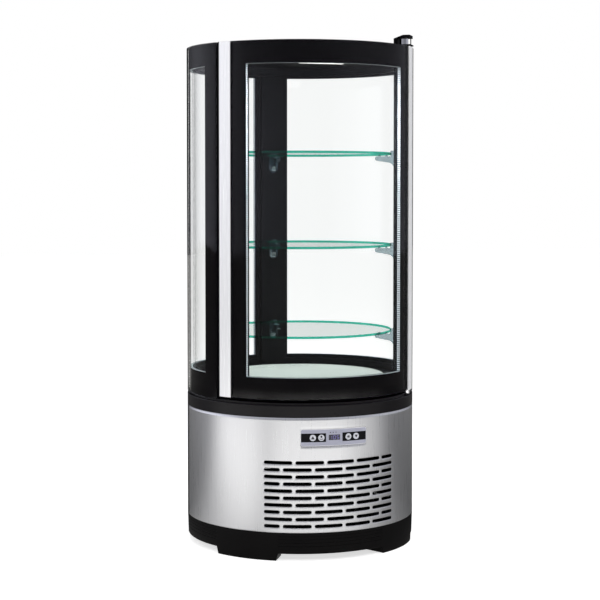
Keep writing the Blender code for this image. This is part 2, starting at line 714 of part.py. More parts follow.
def build_inlet():
    """The mains inlet: a flanged body with a socket, set in the rear casing."""
    face = BODY_RADIUS * math.cos(math.asin(INLET_WIDTH / 2 / BODY_RADIUS))
    back = face - INLET_DEPTH
    half = Vector((INLET_WIDTH / 2, INLET_TALL / 2, 0))
    body = box_mesh("power_inlet", Vector((0, 0, back)) - half, Vector((0, 0, face)) + half)
    inlet = add_part("power_inlet", body, "grey_plastic")
    inlet.matrix_world = facing(INLET_BEARING, skin_bottom + INLET_HEIGHT)
    half_width, half_tall = INLET_WIDTH / 2 - INLET_FLANGE, INLET_TALL / 2 - INLET_FLANGE
    pocket = box_mesh("inlet_pocket", (-half_width, -half_tall, face - INLET_POCKET),
                      (half_width, half_tall, face + CUT_OVERRUN))
    pocket.transform(facing(INLET_BEARING, skin_bottom + INLET_HEIGHT))
    return combine(inlet, add_cutter("inlet_pocket", pocket), "DIFFERENCE")


def build_ring():
    """The black ring on top of the base, with the raised sill that the glazing stands on."""
    outline = [(sill_radius, sill_top), (sill_radius, ring_top), (BODY_RADIUS, ring_top),
               (BODY_RADIUS, ring_bottom), (BODY_RADIUS - RING_WALL, ring_bottom),
               (BODY_RADIUS - RING_WALL, ring_top - RING_PLATE), (ring_hole, ring_top - RING_PLATE),
               (ring_hole, sill_top)]
    ring = turned("top_ring", outline, "black_plastic")
    back = hinge_radius - LOWER_BRACKET_BACK - SEAT_GAP
    seat = wall_cutter("lower_bracket_seat", back, BODY_RADIUS + CUT_OVERRUN, ring_top,
                       sill_top + CUT_OVERRUN, BRACKET_FRONT_BEARING - CASING_SEAM_ANGLE,
                       BRACKET_REAR_BEARING + CASING_SEAM_ANGLE)
    return combine(ring, seat, "DIFFERENCE")


def build_controls():
    """The curved fascia, its display window, four sprung buttons and the housing behind them."""
    inner = BODY_RADIUS - FASCIA_THICKNESS
    outer = BODY_RADIUS
    low = fascia_height - FASCIA_HEIGHT / 2
    high = fascia_height + FASCIA_HEIGHT / 2
    half_angle = math.degrees(math.asin(FASCIA_WIDTH / 2 / BODY_RADIUS)) + PROFILE_GAP_ANGLE
    fascia = sector("control_fascia", wall(inner, outer, low - CUT_OVERRUN, high + CUT_OVERRUN), -half_angle,
                    half_angle, "silver_panel")
    outline = rounded_rectangle(FASCIA_WIDTH, FASCIA_HEIGHT, FASCIA_CORNER)
    shape = plate_mesh("fascia_shape", outline, BODY_RADIUS / 4)
    shape.transform(facing(0, fascia_height) @ Matrix.Translation((0, 0, BODY_RADIUS)))
    combine(fascia, add_cutter("fascia_shape", shape), "INTERSECT")

    housing_outer = inner - HOUSING_GAP
    outline = wall(housing_outer - HOUSING_DEPTH, housing_outer, fascia_height - HOUSING_HEIGHT / 2,
                   fascia_height + HOUSING_HEIGHT / 2)
    housing = sector("control_housing", outline, -HOUSING_HALF_ANGLE, HOUSING_HALF_ANGLE, "grey_plastic")

    cap_face = outer + BUTTON_PROUD
    cap_back = cap_face - BUTTON_CAP
    stem_end = cap_back - STEM_LENGTH
    hole = rod_mesh("button_hole", BUTTON_RADIUS + SEAT_GAP, inner - CUT_OVERRUN, outer + CUT_OVERRUN, 16)
    bore = rod_mesh("stem_bore", STEM_RADIUS + STEM_BORE_CLEARANCE, stem_end - 2 * BUTTON_TRAVEL,
                    housing_outer + CUT_OVERRUN, 12)
    holes = [(hole, facing(bearing, fascia_height)) for bearing in BUTTON_BEARINGS.values()]
    bores = [(bore, facing(bearing, fascia_height)) for bearing in BUTTON_BEARINGS.values()]
    combine(housing, add_cutter("stem_bores", gathered("stem_bores", bores)), "DIFFERENCE")
    half = Vector((DISPLAY_WIDTH / 2 + SEAT_GAP, DISPLAY_HEIGHT / 2 + SEAT_GAP, 0))
    opening = box_mesh("display_opening", Vector((0, 0, inner - CUT_OVERRUN)) - half,
                       Vector((0, 0, outer + CUT_OVERRUN)) + half)
    holes.append((opening, facing(0, fascia_height)))
    combine(fascia, add_cutter("fascia_holes", gathered("fascia_holes", holes)), "DIFFERENCE")

    window_angle = math.degrees(math.asin(DISPLAY_WIDTH / 2 / BODY_RADIUS))
    outline = wall(inner, outer - DISPLAY_RECESS, fascia_height - DISPLAY_HEIGHT / 2,
                   fascia_height + DISPLAY_HEIGHT / 2)
    sector("display_window", outline, -window_angle, window_angle, "display_glass")

    cap = [(0, cap_face), (BUTTON_RADIUS - BUTTON_EDGE, cap_face), (BUTTON_RADIUS, cap_face - BUTTON_EDGE),
           (BUTTON_RADIUS, cap_back), (STEM_RADIUS, cap_back), (STEM_RADIUS, stem_end), (0, stem_end)]
    for name, bearing in BUTTON_BEARINGS.items():
        button = turned(name, cap, "button_silver", 16)
        button.matrix_world = facing(bearing, fascia_height)


def build_tub():
    """The insulated tub in the ring, its rim carrying the posts."""
    outline = [(0, tub_floor), (tub_inner, tub_floor), (tub_inner, rim_top), (rim_radius, rim_top),
               (rim_radius, rim_bottom), (tub_outer, rim_bottom), (tub_outer, tub_bottom), (0, tub_bottom)]
    turned("insulated_tub", outline, "foam_liner")


def build_deck():
    """The pale deck over the tub, with two air slots in front of the rear column."""
    deck = turned("deck_plate", [(0, deck_top), (deck_radius, deck_top), (deck_radius, deck_bottom),
                                 (0, deck_bottom)], "white_deck")
    slot = plate_mesh("air_slot", stadium(AIR_SLOT_LENGTH, AIR_SLOT_WIDTH), DECK_THICKNESS + 2 * CUT_OVERRUN)
    y = deck_radius - AIR_SLOT_INSET
    level = (deck_bottom + deck_top) / 2
    places = [(slot, Matrix.Translation((side * AIR_SLOT_SPREAD, y, level))) for side in (-1, 1)]
    return combine(deck, add_cutter("air_slots", gathered("air_slots", places)), "DIFFERENCE")


def build_posts():
    """Two front posts: a thin flange that the door and side glass close on, with a rib behind."""
    flange_inner = rim_radius - POST_FLANGE
    outline = (plan_arc(rim_radius, POST_START_ANGLE, POST_END_ANGLE)
               + plan_arc(flange_inner, POST_END_ANGLE, POST_RIB_END_ANGLE)
               + plan_arc(post_inner, POST_RIB_END_ANGLE, POST_RIB_START_ANGLE)
               + plan_arc(flange_inner, POST_RIB_START_ANGLE, POST_START_ANGLE))
    upright("front_right_post", outline, post_bottom, post_top, "black_paint")
    mirrored = [(-x, y) for x, y in reversed(outline)]
    upright("front_left_post", mirrored, post_bottom, post_top, "black_paint")


def build_column():
    """The rear column between the side units, thicker inside where it stands on the tub."""
    outer = BODY_RADIUS - SEAT_GAP
    outline = [(outer, glass_top), (outer, side_bottom), (frame_inner, side_bottom),
               (frame_inner, post_bottom), (post_inner, post_bottom), (post_inner, post_top),
               (frame_inner, post_top), (frame_inner, glass_top)]
    sector("rear_column", outline, 180 - COLUMN_HALF_ANGLE, 180 + COLUMN_HALF_ANGLE, "black_paint")


def build_header():
    """The header that joins the posts, the lamp bar under its front edge and the roof over it."""
    inner = rim_radius - HEADER_WALL
    turned("header", [(0, header_top), (rim_radius, header_top), (rim_radius, header_bottom),
                      (inner, header_bottom), (inner, ceiling_bottom), (0, ceiling_bottom)], "black_paint")
    lamp_top = ceiling_bottom - SEAT_GAP
    lamp_bottom = lamp_top - LAMP_THICKNESS
    outline = rounded_rectangle(LAMP_LENGTH, LAMP_WIDTH, LAMP_WIDTH / 4)
    lamp = plate_mesh("ceiling_lamp", outline, LAMP_THICKNESS)
    lamp.transform(Matrix.Translation((0, LAMP_SETBACK - inner, (lamp_top + lamp_bottom) / 2)))
    add_part("ceiling_lamp", lamp, "lamp_cover")
    crown = block_inner - ROOF_CROWN
    turned("roof_cap", [(0, roof_rim_top + ROOF_CROWN), (crown - 2 * ROOF_CROWN, roof_rim_top + ROOF_CROWN),
                        (crown, roof_rim_top), (rim_radius, roof_rim_top), (rim_radius, roof_bottom),
                        (0, roof_bottom)], "black_paint")


def build_glazing(unit, start, end, window_start, window_end, bottom):
    """One double-glazed curved unit: two panes, the spacer bar between and the frame behind."""
    pane_start = max(window_start - EDGE_OVERLAP_ANGLE, start + EDGE_RIM_ANGLE)
    pane_end = min(window_end + EDGE_OVERLAP_ANGLE, end - EDGE_RIM_ANGLE)
    pane_low = window_bottom - EDGE_OVERLAP
    pane_high = window_top + EDGE_OVERLAP
    outer = sector(unit + "_outer_glass", wall(outer_pane_inner, BODY_RADIUS, bottom, glass_top), start, end,
                   "glass")
    inner = sector(unit + "_inner_glass", wall(inner_pane_inner, inner_pane_outer, pane_low, pane_high),
                   pane_start, pane_end, "glass")
    spacer = sector(unit + "_spacer", wall(spacer_inner, spacer_outer, pane_low, pane_high),
                    pane_start, pane_end, "spacer_bar")
    frame = sector(unit + "_frame", wall(frame_inner, spacer_outer, bottom, glass_top), start, end,
                   "black_gasket")
    window = wall_cutter(unit + "_window", frame_inner - CUT_OVERRUN, BODY_RADIUS, window_bottom, window_top,
                         window_start, window_end)
    pocket = wall_cutter(unit + "_pocket", inner_pane_inner - SEAT_GAP, BODY_RADIUS, pane_low - SEAT_GAP,
                         pane_high + SEAT_GAP, pane_start - POCKET_GAP_ANGLE, pane_end + POCKET_GAP_ANGLE)
    rebate_start = max(window_start - FRAME_REBATE_ANGLE, start + EDGE_RIM_ANGLE)
    rebate_end = min(window_end + FRAME_REBATE_ANGLE, end - EDGE_RIM_ANGLE)
    rebate = wall_cutter(unit + "_rebate", frame_inner - CUT_OVERRUN, inner_pane_inner - SEAT_GAP - FRAME_LIP,
                         window_bottom - FRAME_REBATE, window_top + FRAME_REBATE, rebate_start, rebate_end)
    combine(spacer, window, "DIFFERENCE")
    combine(frame, window, "DIFFERENCE")
    combine(frame, pocket, "DIFFERENCE")
    combine(frame, rebate, "DIFFERENCE")
    return [outer, inner, spacer, frame]


def profile_outline():
    """Plan of the hinge-side profile: a solid block with two lips that hold the glass."""
    outer_end = DOOR_HALF_ANGLE
    lip_start = outer_end - PROFILE_ANGLE
    block_start = outer_end - PROFILE_BLOCK_ANGLE
    fillet_angle = math.degrees(PROFILE_FILLET / profile_outer)
    corner = polar(profile_outer - PROFILE_FILLET, outer_end - fillet_angle)
    fillet = arc(corner[:2], PROFILE_FILLET, outer_end - 90, outer_end, 4)
    inner_face = frame_inner + FRAME_BACK / 2 - SEAT_GAP
    return (plan_arc(profile_outer, lip_start, outer_end - fillet_angle)[:-1] + fillet
            + plan_arc(inner_face, outer_end, block_start)
            + plan_arc(BODY_RADIUS + SEAT_GAP, block_start, lip_start))


def build_door():
    """The hinged door: curved double glazing between two bright upright profiles."""
    glass_end = DOOR_HALF_ANGLE - PROFILE_BLOCK_ANGLE - PROFILE_GAP_ANGLE
    pieces = build_glazing("door", -glass_end, glass_end, -DOOR_WINDOW_ANGLE, DOOR_WINDOW_ANGLE, door_bottom)
    outline = profile_outline()
    hinge_side = upright("hinge_profile", outline, door_bottom, glass_top, "aluminium")
    handle_side = upright("handle_profile", [(-x, y) for x, y in reversed(outline)], door_bottom, glass_top,
                          "aluminium")
    radius = PIN_RADIUS + PIN_CLEARANCE
    bores = gathered("pivot_bores", [
        (rod_mesh("bore", radius, glass_top - PIN_REACH - SEAT_GAP, glass_top + CUT_OVERRUN),
         Matrix.Translation(hinge_place)),
        (rod_mesh("bore", radius, door_bottom - CUT_OVERRUN, door_bottom + PIN_REACH + SEAT_GAP),
         Matrix.Translation(hinge_place))])
    combine(hinge_side, add_cutter("pivot_bores", bores), "DIFFERENCE")
    hang_on_axis("door_axis", hinge_place, Matrix.Identity(4), pieces + [hinge_side, handle_side])


def add_pivot(name, inner, outer, bottom, top, pin_end):
    """A bright pivot: a round-ended head along the radius, with the door's pin on the hinge's axis."""
    head = plate_mesh(name, stadium(outer - inner, BUSH_WIDTH, 6), top - bottom)
    middle = (bottom + top) / 2
    head.transform(turn(HINGE_BEARING) @ Matrix.Translation((0, -(outer + inner) / 2, middle)) @ turn(90))
    pin = rod_mesh(name + "_pin", PIN_RADIUS, min(middle, pin_end), max(middle, pin_end))
    pin.transform(Matrix.Translation(hinge_place))
    return combine(add_part(name, head, "chrome"), add_cutter(name + "_pin", pin), "UNION")


def build_hinges():
    """The bracket on the roof with its bright pivot, and the pivot and plate under the door."""
    foot_bottom = glass_top + BRACKET_CLEARANCE
    foot_top = foot_bottom + BRACKET_FOOT_PLATE
    foot_end = profile_outer + BRACKET_FOOT_PROUD
    plate_bottom = bracket_top - BRACKET_PLATE
    stand = roof_rim_top + SEAT_GAP
    outline = [(block_inner + BRACKET_SLOPE_LENGTH, bracket_top), (bracket_reach, bracket_top),
               (bracket_reach, plate_bottom), (bracket_wall, plate_bottom), (bracket_wall, foot_top),
               (foot_end, foot_top), (foot_end, foot_bottom), (block_outer, foot_bottom),
               (block_outer, stand), (block_inner, stand), (block_inner, bracket_top - BRACKET_SLOPE)]
    bracket = sector("top_hinge_bracket", outline, BRACKET_FRONT_BEARING, BRACKET_REAR_BEARING, "black_paint")
    wall_inner = bracket_wall - BRACKET_WALL
    before = BRACKET_FRONT_BEARING - FACET_ANGLE
    inside = wall_cutter("bracket_opening", block_outer, wall_inner, foot_top, plate_bottom, before,
                         BRACKET_REAR_BEARING + FACET_ANGLE)
    beside = wall_cutter("bracket_side", wall_inner - CUT_OVERRUN, foot_end + CUT_OVERRUN, foot_top,
                         plate_bottom, before, BRACKET_REAR_BEARING - BRACKET_STRUT_ANGLE)
    combine(bracket, inside, "DIFFERENCE")
    combine(bracket, beside, "DIFFERENCE")
    hole = rod_mesh("pin_hole", PIN_RADIUS + PIN_CLEARANCE, foot_bottom - CUT_OVERRUN, foot_top + CUT_OVERRUN)
    hole.transform(Matrix.Translation(hinge_place))
    combine(bracket, add_cutter("pin_hole", hole), "DIFFERENCE")
    add_pivot("top_hinge_bush", block_outer + BUSH_SETBACK, hinge_radius + PIN_RADIUS + BUSH_WALL,
              foot_top + SEAT_GAP, plate_bottom - SEAT_GAP, glass_top - PIN_REACH)

    plate_low = ring_top + SEAT_GAP
    plate_high = plate_low + LOWER_BRACKET_PLATE
    plate = wall(hinge_radius - LOWER_BRACKET_BACK, BODY_RADIUS, plate_low, plate_high)
    sector("bottom_hinge_bracket", plate, BRACKET_FRONT_BEARING, BRACKET_REAR_BEARING, "black_paint")
    add_pivot("bottom_hinge_bush", hinge_radius - LOWER_BUSH_BACK, hinge_radius + LOWER_BUSH_REACH,
              plate_high + SEAT_GAP, door_bottom - SEAT_GAP, door_bottom + PIN_REACH)


def bracket_mesh():
    """One clear shelf bracket: a shaped arm with two nubs and a tab, on a rounded back plate."""
    arm_top = -ARM_DROP
    arm_low = arm_top - ARM_END_HEIGHT
    root_low = arm_low - ARM_SWELL
    tab_top = SHELF_THICKNESS + TAB_RISE
    tab_face = bracket_face - shelf_radius - TAB_GAP
    plate_low = tab_top - BACK_PLATE_HEIGHT
    tip = ARM_END_HEIGHT / 4
    side = [(0, tab_top), (0, plate_low), (BACK_PLATE_THICKNESS, plate_low)]
    reach = BACK_PLATE_THICKNESS + ARM_CURVE
    drop = root_low - plate_low - ARM_CURVE / 4
    for step in range(5):
        angle = math.radians(90 * step / 4)
        side.append((reach - ARM_CURVE * math.cos(angle), root_low - drop * (1 - math.sin(angle))))
    side += [(ARM_LENGTH - tip, arm_low), (ARM_LENGTH, arm_low + tip), (ARM_LENGTH, arm_top - tip),
             (ARM_LENGTH - tip, arm_top)]
    for share in reversed(NUB_SHARES):
        middle = ARM_LENGTH * share
        side += [(middle + NUB_WIDTH / 2, arm_top), (middle + NUB_WIDTH / 4, -SEAT_GAP),
                 (middle - NUB_WIDTH / 4, -SEAT_GAP), (middle - NUB_WIDTH / 2, arm_top)]
    side += [(tab_face, arm_top), (tab_face, tab_top - TAB_GAP), (tab_face - TAB_GAP, tab_top)]
    arm = plate_mesh("bracket_arm", side, ARM_WIDTH)
    outline = rounded_rectangle(BACK_PLATE_WIDTH, BACK_PLATE_HEIGHT - 2 * TAB_GAP,
                                BACK_PLATE_WIDTH / 2 - TAB_GAP)
    back = plate_mesh("bracket_back", outline, BACK_PLATE_THICKNESS - TAB_GAP)
    # the arm is drawn in X (inwards) and Y (up); the plate faces inwards behind it
    middle = Vector(((BACK_PLATE_THICKNESS - TAB_GAP / 2) / 2, tab_top - BACK_PLATE_HEIGHT / 2, 0))
    back.transform(Matrix.Translation(middle) @ Matrix.Rotation(math.radians(90), 4, "Y"))
    arm_part = bpy.data.objects.new("bracket_arm", arm)
    parts.objects.link(arm_part)
    combine(arm_part, add_cutter("bracket_back", back), "UNION")
    bpy.context.view_layer.update()
    joined = bpy.data.meshes.new_from_object(arm_part.evaluated_get(bpy.context.evaluated_depsgraph_get()))
    bpy.data.objects.remove(arm_part)
    # stand the arm up, pointing from the post towards the axis, for a post at the front
    place = Matrix.Translation((0, -bracket_face, 0))
    joined.transform(place @ turn(90) @ Matrix.Rotation(math.radians(90), 4, "X"))
    return joined


def build_shelves():
    """Three round glass shelves, each on three clear brackets."""
    outline = [(0, SHELF_THICKNESS), (shelf_radius, SHELF_THICKNESS), (shelf_radius, 0), (0, 0)]
    shared = bracket_mesh()
    for level, rise in SHELF_RISES.items():
        seat = deck_top + rise - SHELF_THICKNESS
        shelf = turned("shelf_" + level, outline, "shelf_glass")
        shelf.location = (0, 0, seat)
        for side, bearing in BRACKET_BEARINGS.items():
            bracket = add_part("bracket_" + level + "_" + side, shared, "clear_plastic")
            bracket.matrix_world = Matrix.Translation((0, 0, seat)) @ turn(bearing)


def comb_outline(width, depth):
    """Plan of a finned block: fins across a spine, as one outline."""
    count = round(width / FIN_PITCH)
    start = -(count - 1) * FIN_PITCH / 2
    front = []
    back = []
    for number in range(count):
        middle = start + number * FIN_PITCH
        low, high = middle - FIN_THICKNESS / 2, middle + FIN_THICKNESS / 2
        front += [(low, -FIN_SPINE / 2), (low, -depth / 2), (high, -depth / 2), (high, -FIN_SPINE / 2)]
        back += [(low, FIN_SPINE / 2), (low, depth / 2), (high, depth / 2), (high, FIN_SPINE / 2)]
    return front[1:-1] + list(reversed(back[1:-1]))


def fan_mesh(name, tip_radius):
    """A hub with twisted blades round it, on its own Z axis."""
    half = FAN_HUB_LENGTH / 2
    bore = SHAFT_RADIUS + SHAFT_CLEARANCE
    hub = turned_mesh(name, wall(bore, FAN_HUB_RADIUS, -half, half), 20)
    spread = FAN_BLADE_ANGLE / 2
    root = (FAN_HUB_RADIUS + bore) / 2
    outline = arc((0, 0), tip_radius, -spread, spread, 3) + arc((0, 0), root, spread / 2, -spread / 2, 1)
    blade = plate_mesh("blade", outline, FAN_BLADE_THICKNESS)
    blade.transform(Matrix.Rotation(math.radians(FAN_PITCH_ANGLE), 4, "X"))
    placed = [(blade, turn(360 * number / FAN_BLADES)) for number in range(FAN_BLADES)]
    carrier = bpy.data.objects.new(name, hub)
    parts.objects.link(carrier)
    for number, (mesh, place) in enumerate(placed):
        combine(carrier, add_cutter(name + "_blade", gathered(name + "_blade", [(mesh, place)])), "UNION")
    bpy.context.view_layer.update()
    joined = bpy.data.meshes.new_from_object(carrier.evaluated_get(bpy.context.evaluated_depsgraph_get()))
    bpy.data.objects.remove(carrier)
    return joined


def build_condenser():
    """The condenser behind the grille, with its shroud, fan and fan motor."""
    back = -(condenser_front - CONDENSER_DEPTH)
    low = pan_top + SEAT_GAP
    block = plate_mesh("condenser", comb_outline(CONDENSER_WIDTH, CONDENSER_DEPTH), CONDENSER_HEIGHT)
    block.transform(Matrix.Translation((0, back - CONDENSER_DEPTH / 2, low + CONDENSER_HEIGHT / 2)))
    add_part("condenser", block, "black_enamel")

    face = back + SEAT_GAP
    hole_radius = FAN_RADIUS + FAN_TIP_GAP
    panel = box_mesh("shroud", (-SHROUD_SIZE / 2, face, low),
                     (SHROUD_SIZE / 2, face + SHROUD_THICKNESS, low + SHROUD_SIZE))
    shroud = add_part("condenser_shroud", panel, "galvanised_steel")
    collar = turned_mesh("collar", wall(hole_radius, hole_radius + SHROUD_COLLAR_WALL, SHROUD_THICKNESS / 2,
                                        SHROUD_COLLAR_DEPTH), 32)
    # the fan's frame: +Z runs from front to back through the shroud
    fan_frame = Matrix.Translation((0, face, fan_height)) @ Matrix.Rotation(math.radians(-90), 4, "X")
    collar.transform(fan_frame)
    hole = rod_mesh("shroud_hole", hole_radius, -CUT_OVERRUN, SHROUD_COLLAR_DEPTH + CUT_OVERRUN, 32)
    hole.transform(fan_frame)
    combine(shroud, add_cutter("shroud_collar", collar), "UNION")
    combine(shroud, add_cutter("shroud_hole", hole), "DIFFERENCE")

    fan_middle = SHROUD_COLLAR_DEPTH * FAN_DEPTH_SHARE
    fan = add_part("condenser_fan", fan_mesh("condenser_fan", FAN_RADIUS), "grey_plastic")
    fan.matrix_world = fan_frame @ Matrix.Translation((0, 0, fan_middle))

    motor_face = fan_middle + FAN_HUB_LENGTH / 2 + CUT_OVERRUN
    nose = fan_middle - FAN_HUB_LENGTH / 4
    motor_end = motor_face + MOTOR_LENGTH
    outline = [(0, nose), (0, motor_end), (MOTOR_RADIUS, motor_end), (MOTOR_RADIUS, motor_face),
               (SHAFT_RADIUS, motor_face), (SHAFT_RADIUS, nose)]
    motor = turned("condenser_fan_motor", outline, "black_enamel", 24)
    motor.matrix_world = fan_frame
    behind = face + motor_face + (MOTOR_LENGTH - MOTOR_FOOT_DEPTH) / 2
    foot = box_mesh("motor_foot", (-MOTOR_FOOT_WIDTH / 2, behind, low),
                    (MOTOR_FOOT_WIDTH / 2, behind + MOTOR_FOOT_DEPTH, fan_height))
    combine(motor, add_cutter("motor_foot", foot), "UNION")


def build_compressor():
    """The hermetic compressor: a welded can with domed ends on its mounting plate."""
    low = pan_top + SEAT_GAP
    can_bottom = low + COMPRESSOR_PLATE / 2
    can_top = can_bottom + COMPRESSOR_HEIGHT
    dome = COMPRESSOR_RADIUS / 3
    outline = [(0, can_top)]
    for step in range(1, 5):
        angle = math.radians(90 * step / 4)
        outline.append((COMPRESSOR_RADIUS * math.sin(angle), can_top - dome * (1 - math.cos(angle))))
    seam = can_bottom + COMPRESSOR_HEIGHT * COMPRESSOR_SEAM_SHARE
    outline += [(COMPRESSOR_RADIUS, seam + COMPRESSOR_WAIST),
                (COMPRESSOR_RADIUS + COMPRESSOR_WAIST / 2, seam),
                (COMPRESSOR_RADIUS, seam - COMPRESSOR_WAIST), (COMPRESSOR_RADIUS, can_bottom + dome / 2),
                (COMPRESSOR_RADIUS - dome / 2, can_bottom), (0, can_bottom)]
    can = turned("compressor", outline, "black_enamel", 24)
    x, y = (pan_inner * share for share in COMPRESSOR_PLACE_SHARES)
    can.location = (x, y, 0)
    outline = rounded_rectangle(COMPRESSOR_PLATE_WIDTH, COMPRESSOR_PLATE_DEPTH, COMPRESSOR_RADIUS / 4)
    plate = plate_mesh("compressor_plate", outline, COMPRESSOR_PLATE)
    plate.transform(Matrix.Translation((x, y, low + COMPRESSOR_PLATE / 2)))
    combine(can, add_cutter("compressor_plate", plate), "UNION")


def build_tray():
    """The tray that catches and evaporates the melt water."""
    low = pan_top + SEAT_GAP
    middle = Vector([pan_inner * share for share in TRAY_PLACE_SHARES] + [low])
    half = Vector((TRAY_WIDTH / 2, TRAY_LENGTH / 2, 0))
    wall_inset = Vector((TRAY_WALL, TRAY_WALL, 0))
    tray = add_part("drip_tray", box_mesh("tray", middle - half, middle + half + Vector((0, 0, TRAY_HEIGHT))),
                    "grey_plastic")
    inside = box_mesh("tray_inside", middle - half + wall_inset + Vector((0, 0, TRAY_WALL)),
                      middle + half - wall_inset + Vector((0, 0, TRAY_HEIGHT + CUT_OVERRUN)))
    combine(tray, add_cutter("tray_inside", inside), "DIFFERENCE")


def build_evaporator():
    """The cooling coil in the tub, with the fan that blows towards the rear duct."""
    low = tub_floor + SEAT_GAP
    block = plate_mesh("evaporator", comb_outline(COIL_WIDTH, COIL_DEPTH), COIL_HEIGHT)
    block.transform(Matrix.Translation((0, COIL_PLACE, low + COIL_HEIGHT / 2)))
    add_part("evaporator", block, "fin_aluminium")

    motor_top = low + DUCT_MOTOR_HEIGHT
    fan_middle = motor_top + CUT_OVERRUN + FAN_HUB_LENGTH / 2
    shaft_top = fan_middle + FAN_HUB_LENGTH / 4
    outline = [(0, shaft_top), (SHAFT_RADIUS, shaft_top), (SHAFT_RADIUS, motor_top),
               (DUCT_MOTOR_RADIUS, motor_top), (DUCT_MOTOR_RADIUS, low), (0, low)]
    motor = turned("evaporator_fan_motor", outline, "black_enamel", 20)
    motor.location = (0, duct_fan_y, 0)
    fan = add_part("evaporator_fan", fan_mesh("evaporator_fan", DUCT_FAN_RADIUS), "grey_plastic")
    fan.location = (0, duct_fan_y, fan_middle)


def build_all():
    build_skirt()
    build_pan()
    build_skin()
    build_casing()
    build_inlet()
    build_ring()
    build_controls()
    build_tub()
    build_deck()
    build_posts()
    build_column()
    build_header()
    build_glazing("right", SIDE_FRONT_ANGLE, SIDE_REAR_ANGLE, SIDE_WINDOW_FRONT_ANGLE,
                  SIDE_WINDOW_REAR_ANGLE, side_bottom)
    build_glazing("left", 360 - SIDE_REAR_ANGLE, 360 - SIDE_FRONT_ANGLE, 360 - SIDE_WINDOW_REAR_ANGLE,
                  360 - SIDE_WINDOW_FRONT_ANGLE, side_bottom)
    build_door()
    build_hinges()
    build_shelves()
    build_condenser()
    build_compressor()
    build_tray()
    build_evaporator()


build_all()
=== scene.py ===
import json
import math
import bmesh
import bpy
import numpy as np
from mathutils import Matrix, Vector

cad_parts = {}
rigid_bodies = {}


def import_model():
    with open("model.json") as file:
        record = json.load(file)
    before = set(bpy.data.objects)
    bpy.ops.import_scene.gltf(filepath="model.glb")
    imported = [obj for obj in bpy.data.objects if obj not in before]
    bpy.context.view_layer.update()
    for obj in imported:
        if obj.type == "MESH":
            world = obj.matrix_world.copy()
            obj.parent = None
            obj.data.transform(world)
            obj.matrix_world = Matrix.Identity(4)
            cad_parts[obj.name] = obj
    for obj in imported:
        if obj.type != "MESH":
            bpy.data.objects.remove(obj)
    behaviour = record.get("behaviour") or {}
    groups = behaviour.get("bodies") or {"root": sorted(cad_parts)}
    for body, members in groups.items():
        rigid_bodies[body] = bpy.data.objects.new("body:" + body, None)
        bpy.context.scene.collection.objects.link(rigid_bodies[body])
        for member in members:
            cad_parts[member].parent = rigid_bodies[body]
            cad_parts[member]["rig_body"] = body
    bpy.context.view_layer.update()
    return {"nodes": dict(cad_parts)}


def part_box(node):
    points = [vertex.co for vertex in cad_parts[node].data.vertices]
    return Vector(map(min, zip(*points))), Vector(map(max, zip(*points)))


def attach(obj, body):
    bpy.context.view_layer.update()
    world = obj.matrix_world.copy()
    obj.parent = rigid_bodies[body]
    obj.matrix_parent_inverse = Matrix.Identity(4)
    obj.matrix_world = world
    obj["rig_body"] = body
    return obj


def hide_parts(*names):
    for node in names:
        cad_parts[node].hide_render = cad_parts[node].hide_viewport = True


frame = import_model()

# Bearings are in degrees about the drum's axis, from the front (-Y) towards +X.
drum = {
    "radius": 0.240,
    "step": 1.5,             # bearing between two points of a round wall
    "weld": 0.00001,         # points nearer than this become one
    "sharp": 35,             # degrees between two faces, from which their edge is drawn sharp
}

photo = {
    "size": 600,             # pixels
    "focal": 1554.0,         # pixels
    "axisColumn": 300.0,
    "horizonRow": 188.0,
    "distance": 3.312,       # metres from the drum's axis
    "height": 0.745,
    "azimuth": -17.0,
    "shift": -0.08,          # share of the frame's width
    "sensor": 36.0,          # millimetres
}


def drumPoints(radius, bearing, height):
    # x = r sin b and y = -r cos b, for the bearing b
    turn = np.radians(bearing)
    x, y, z = np.broadcast_arrays(radius * np.sin(turn), -radius * np.cos(turn), height)
    return np.stack((x, y, z), axis=-1)


def gridQuads(rows, columns, wrapRows=False, wrapColumns=False):
    # each quad joins point (i, j) with (i, j+1), (i+1, j+1) and (i+1, j)
    i = np.arange(rows if wrapRows else rows - 1)[:, None]
    j = np.arange(columns if wrapColumns else columns - 1)[None, :]
    nextI, nextJ = (i + 1) % rows, (j + 1) % columns
    corners = (i * columns + j, i * columns + nextJ, nextI * columns + nextJ, nextI * columns + j)
    return np.stack(np.broadcast_arrays(*corners), axis=-1).reshape(-1, 4).tolist()


def capFaces(count, total):
    # the first and the last ring of points, each as one face
    return [list(range(count)), list(range(total - count, total))]


def atDepth(outline, depth):
    # flat points (a, b) become (a, b, depth)
    return np.column_stack((outline, np.full(len(outline), depth)))


def softened(corners, reach=0.0006, steps=3):
    # each corner C becomes the curve (1-t)^2 A + 2t(1-t) C + t^2 B, A and B at the reach along its edges,
    # and one more point beyond A and B keeps the shading of the long faces flat
    corner = np.asarray(corners, float)
    toPrevious = np.roll(corner, 1, axis=0) - corner
    toNext = np.roll(corner, -1, axis=0) - corner

    def along(edge, times, most):
        return corner + edge * np.minimum(times * reach / np.linalg.norm(edge, axis=1), most)[:, None]

    a, b = along(toPrevious, 1, 0.45), along(toNext, 1, 0.45)
    t = np.linspace(0, 1, steps + 1)[None, :, None]
    curve = (1 - t) ** 2 * a[:, None] + 2 * t * (1 - t) * corner[:, None] + t ** 2 * b[:, None]
    before, after = along(toPrevious, 1.5, 0.48)[:, None], along(toNext, 1.5, 0.48)[:, None]
    return np.concatenate((before, curve, after), axis=1).reshape(-1, 2)


def block(inner, outer, low, high, reach, steps=2):
    # a softened rectangle between two radii and two heights
    return softened([(inner, low), (outer, low), (outer, high), (inner, high)], reach, steps)


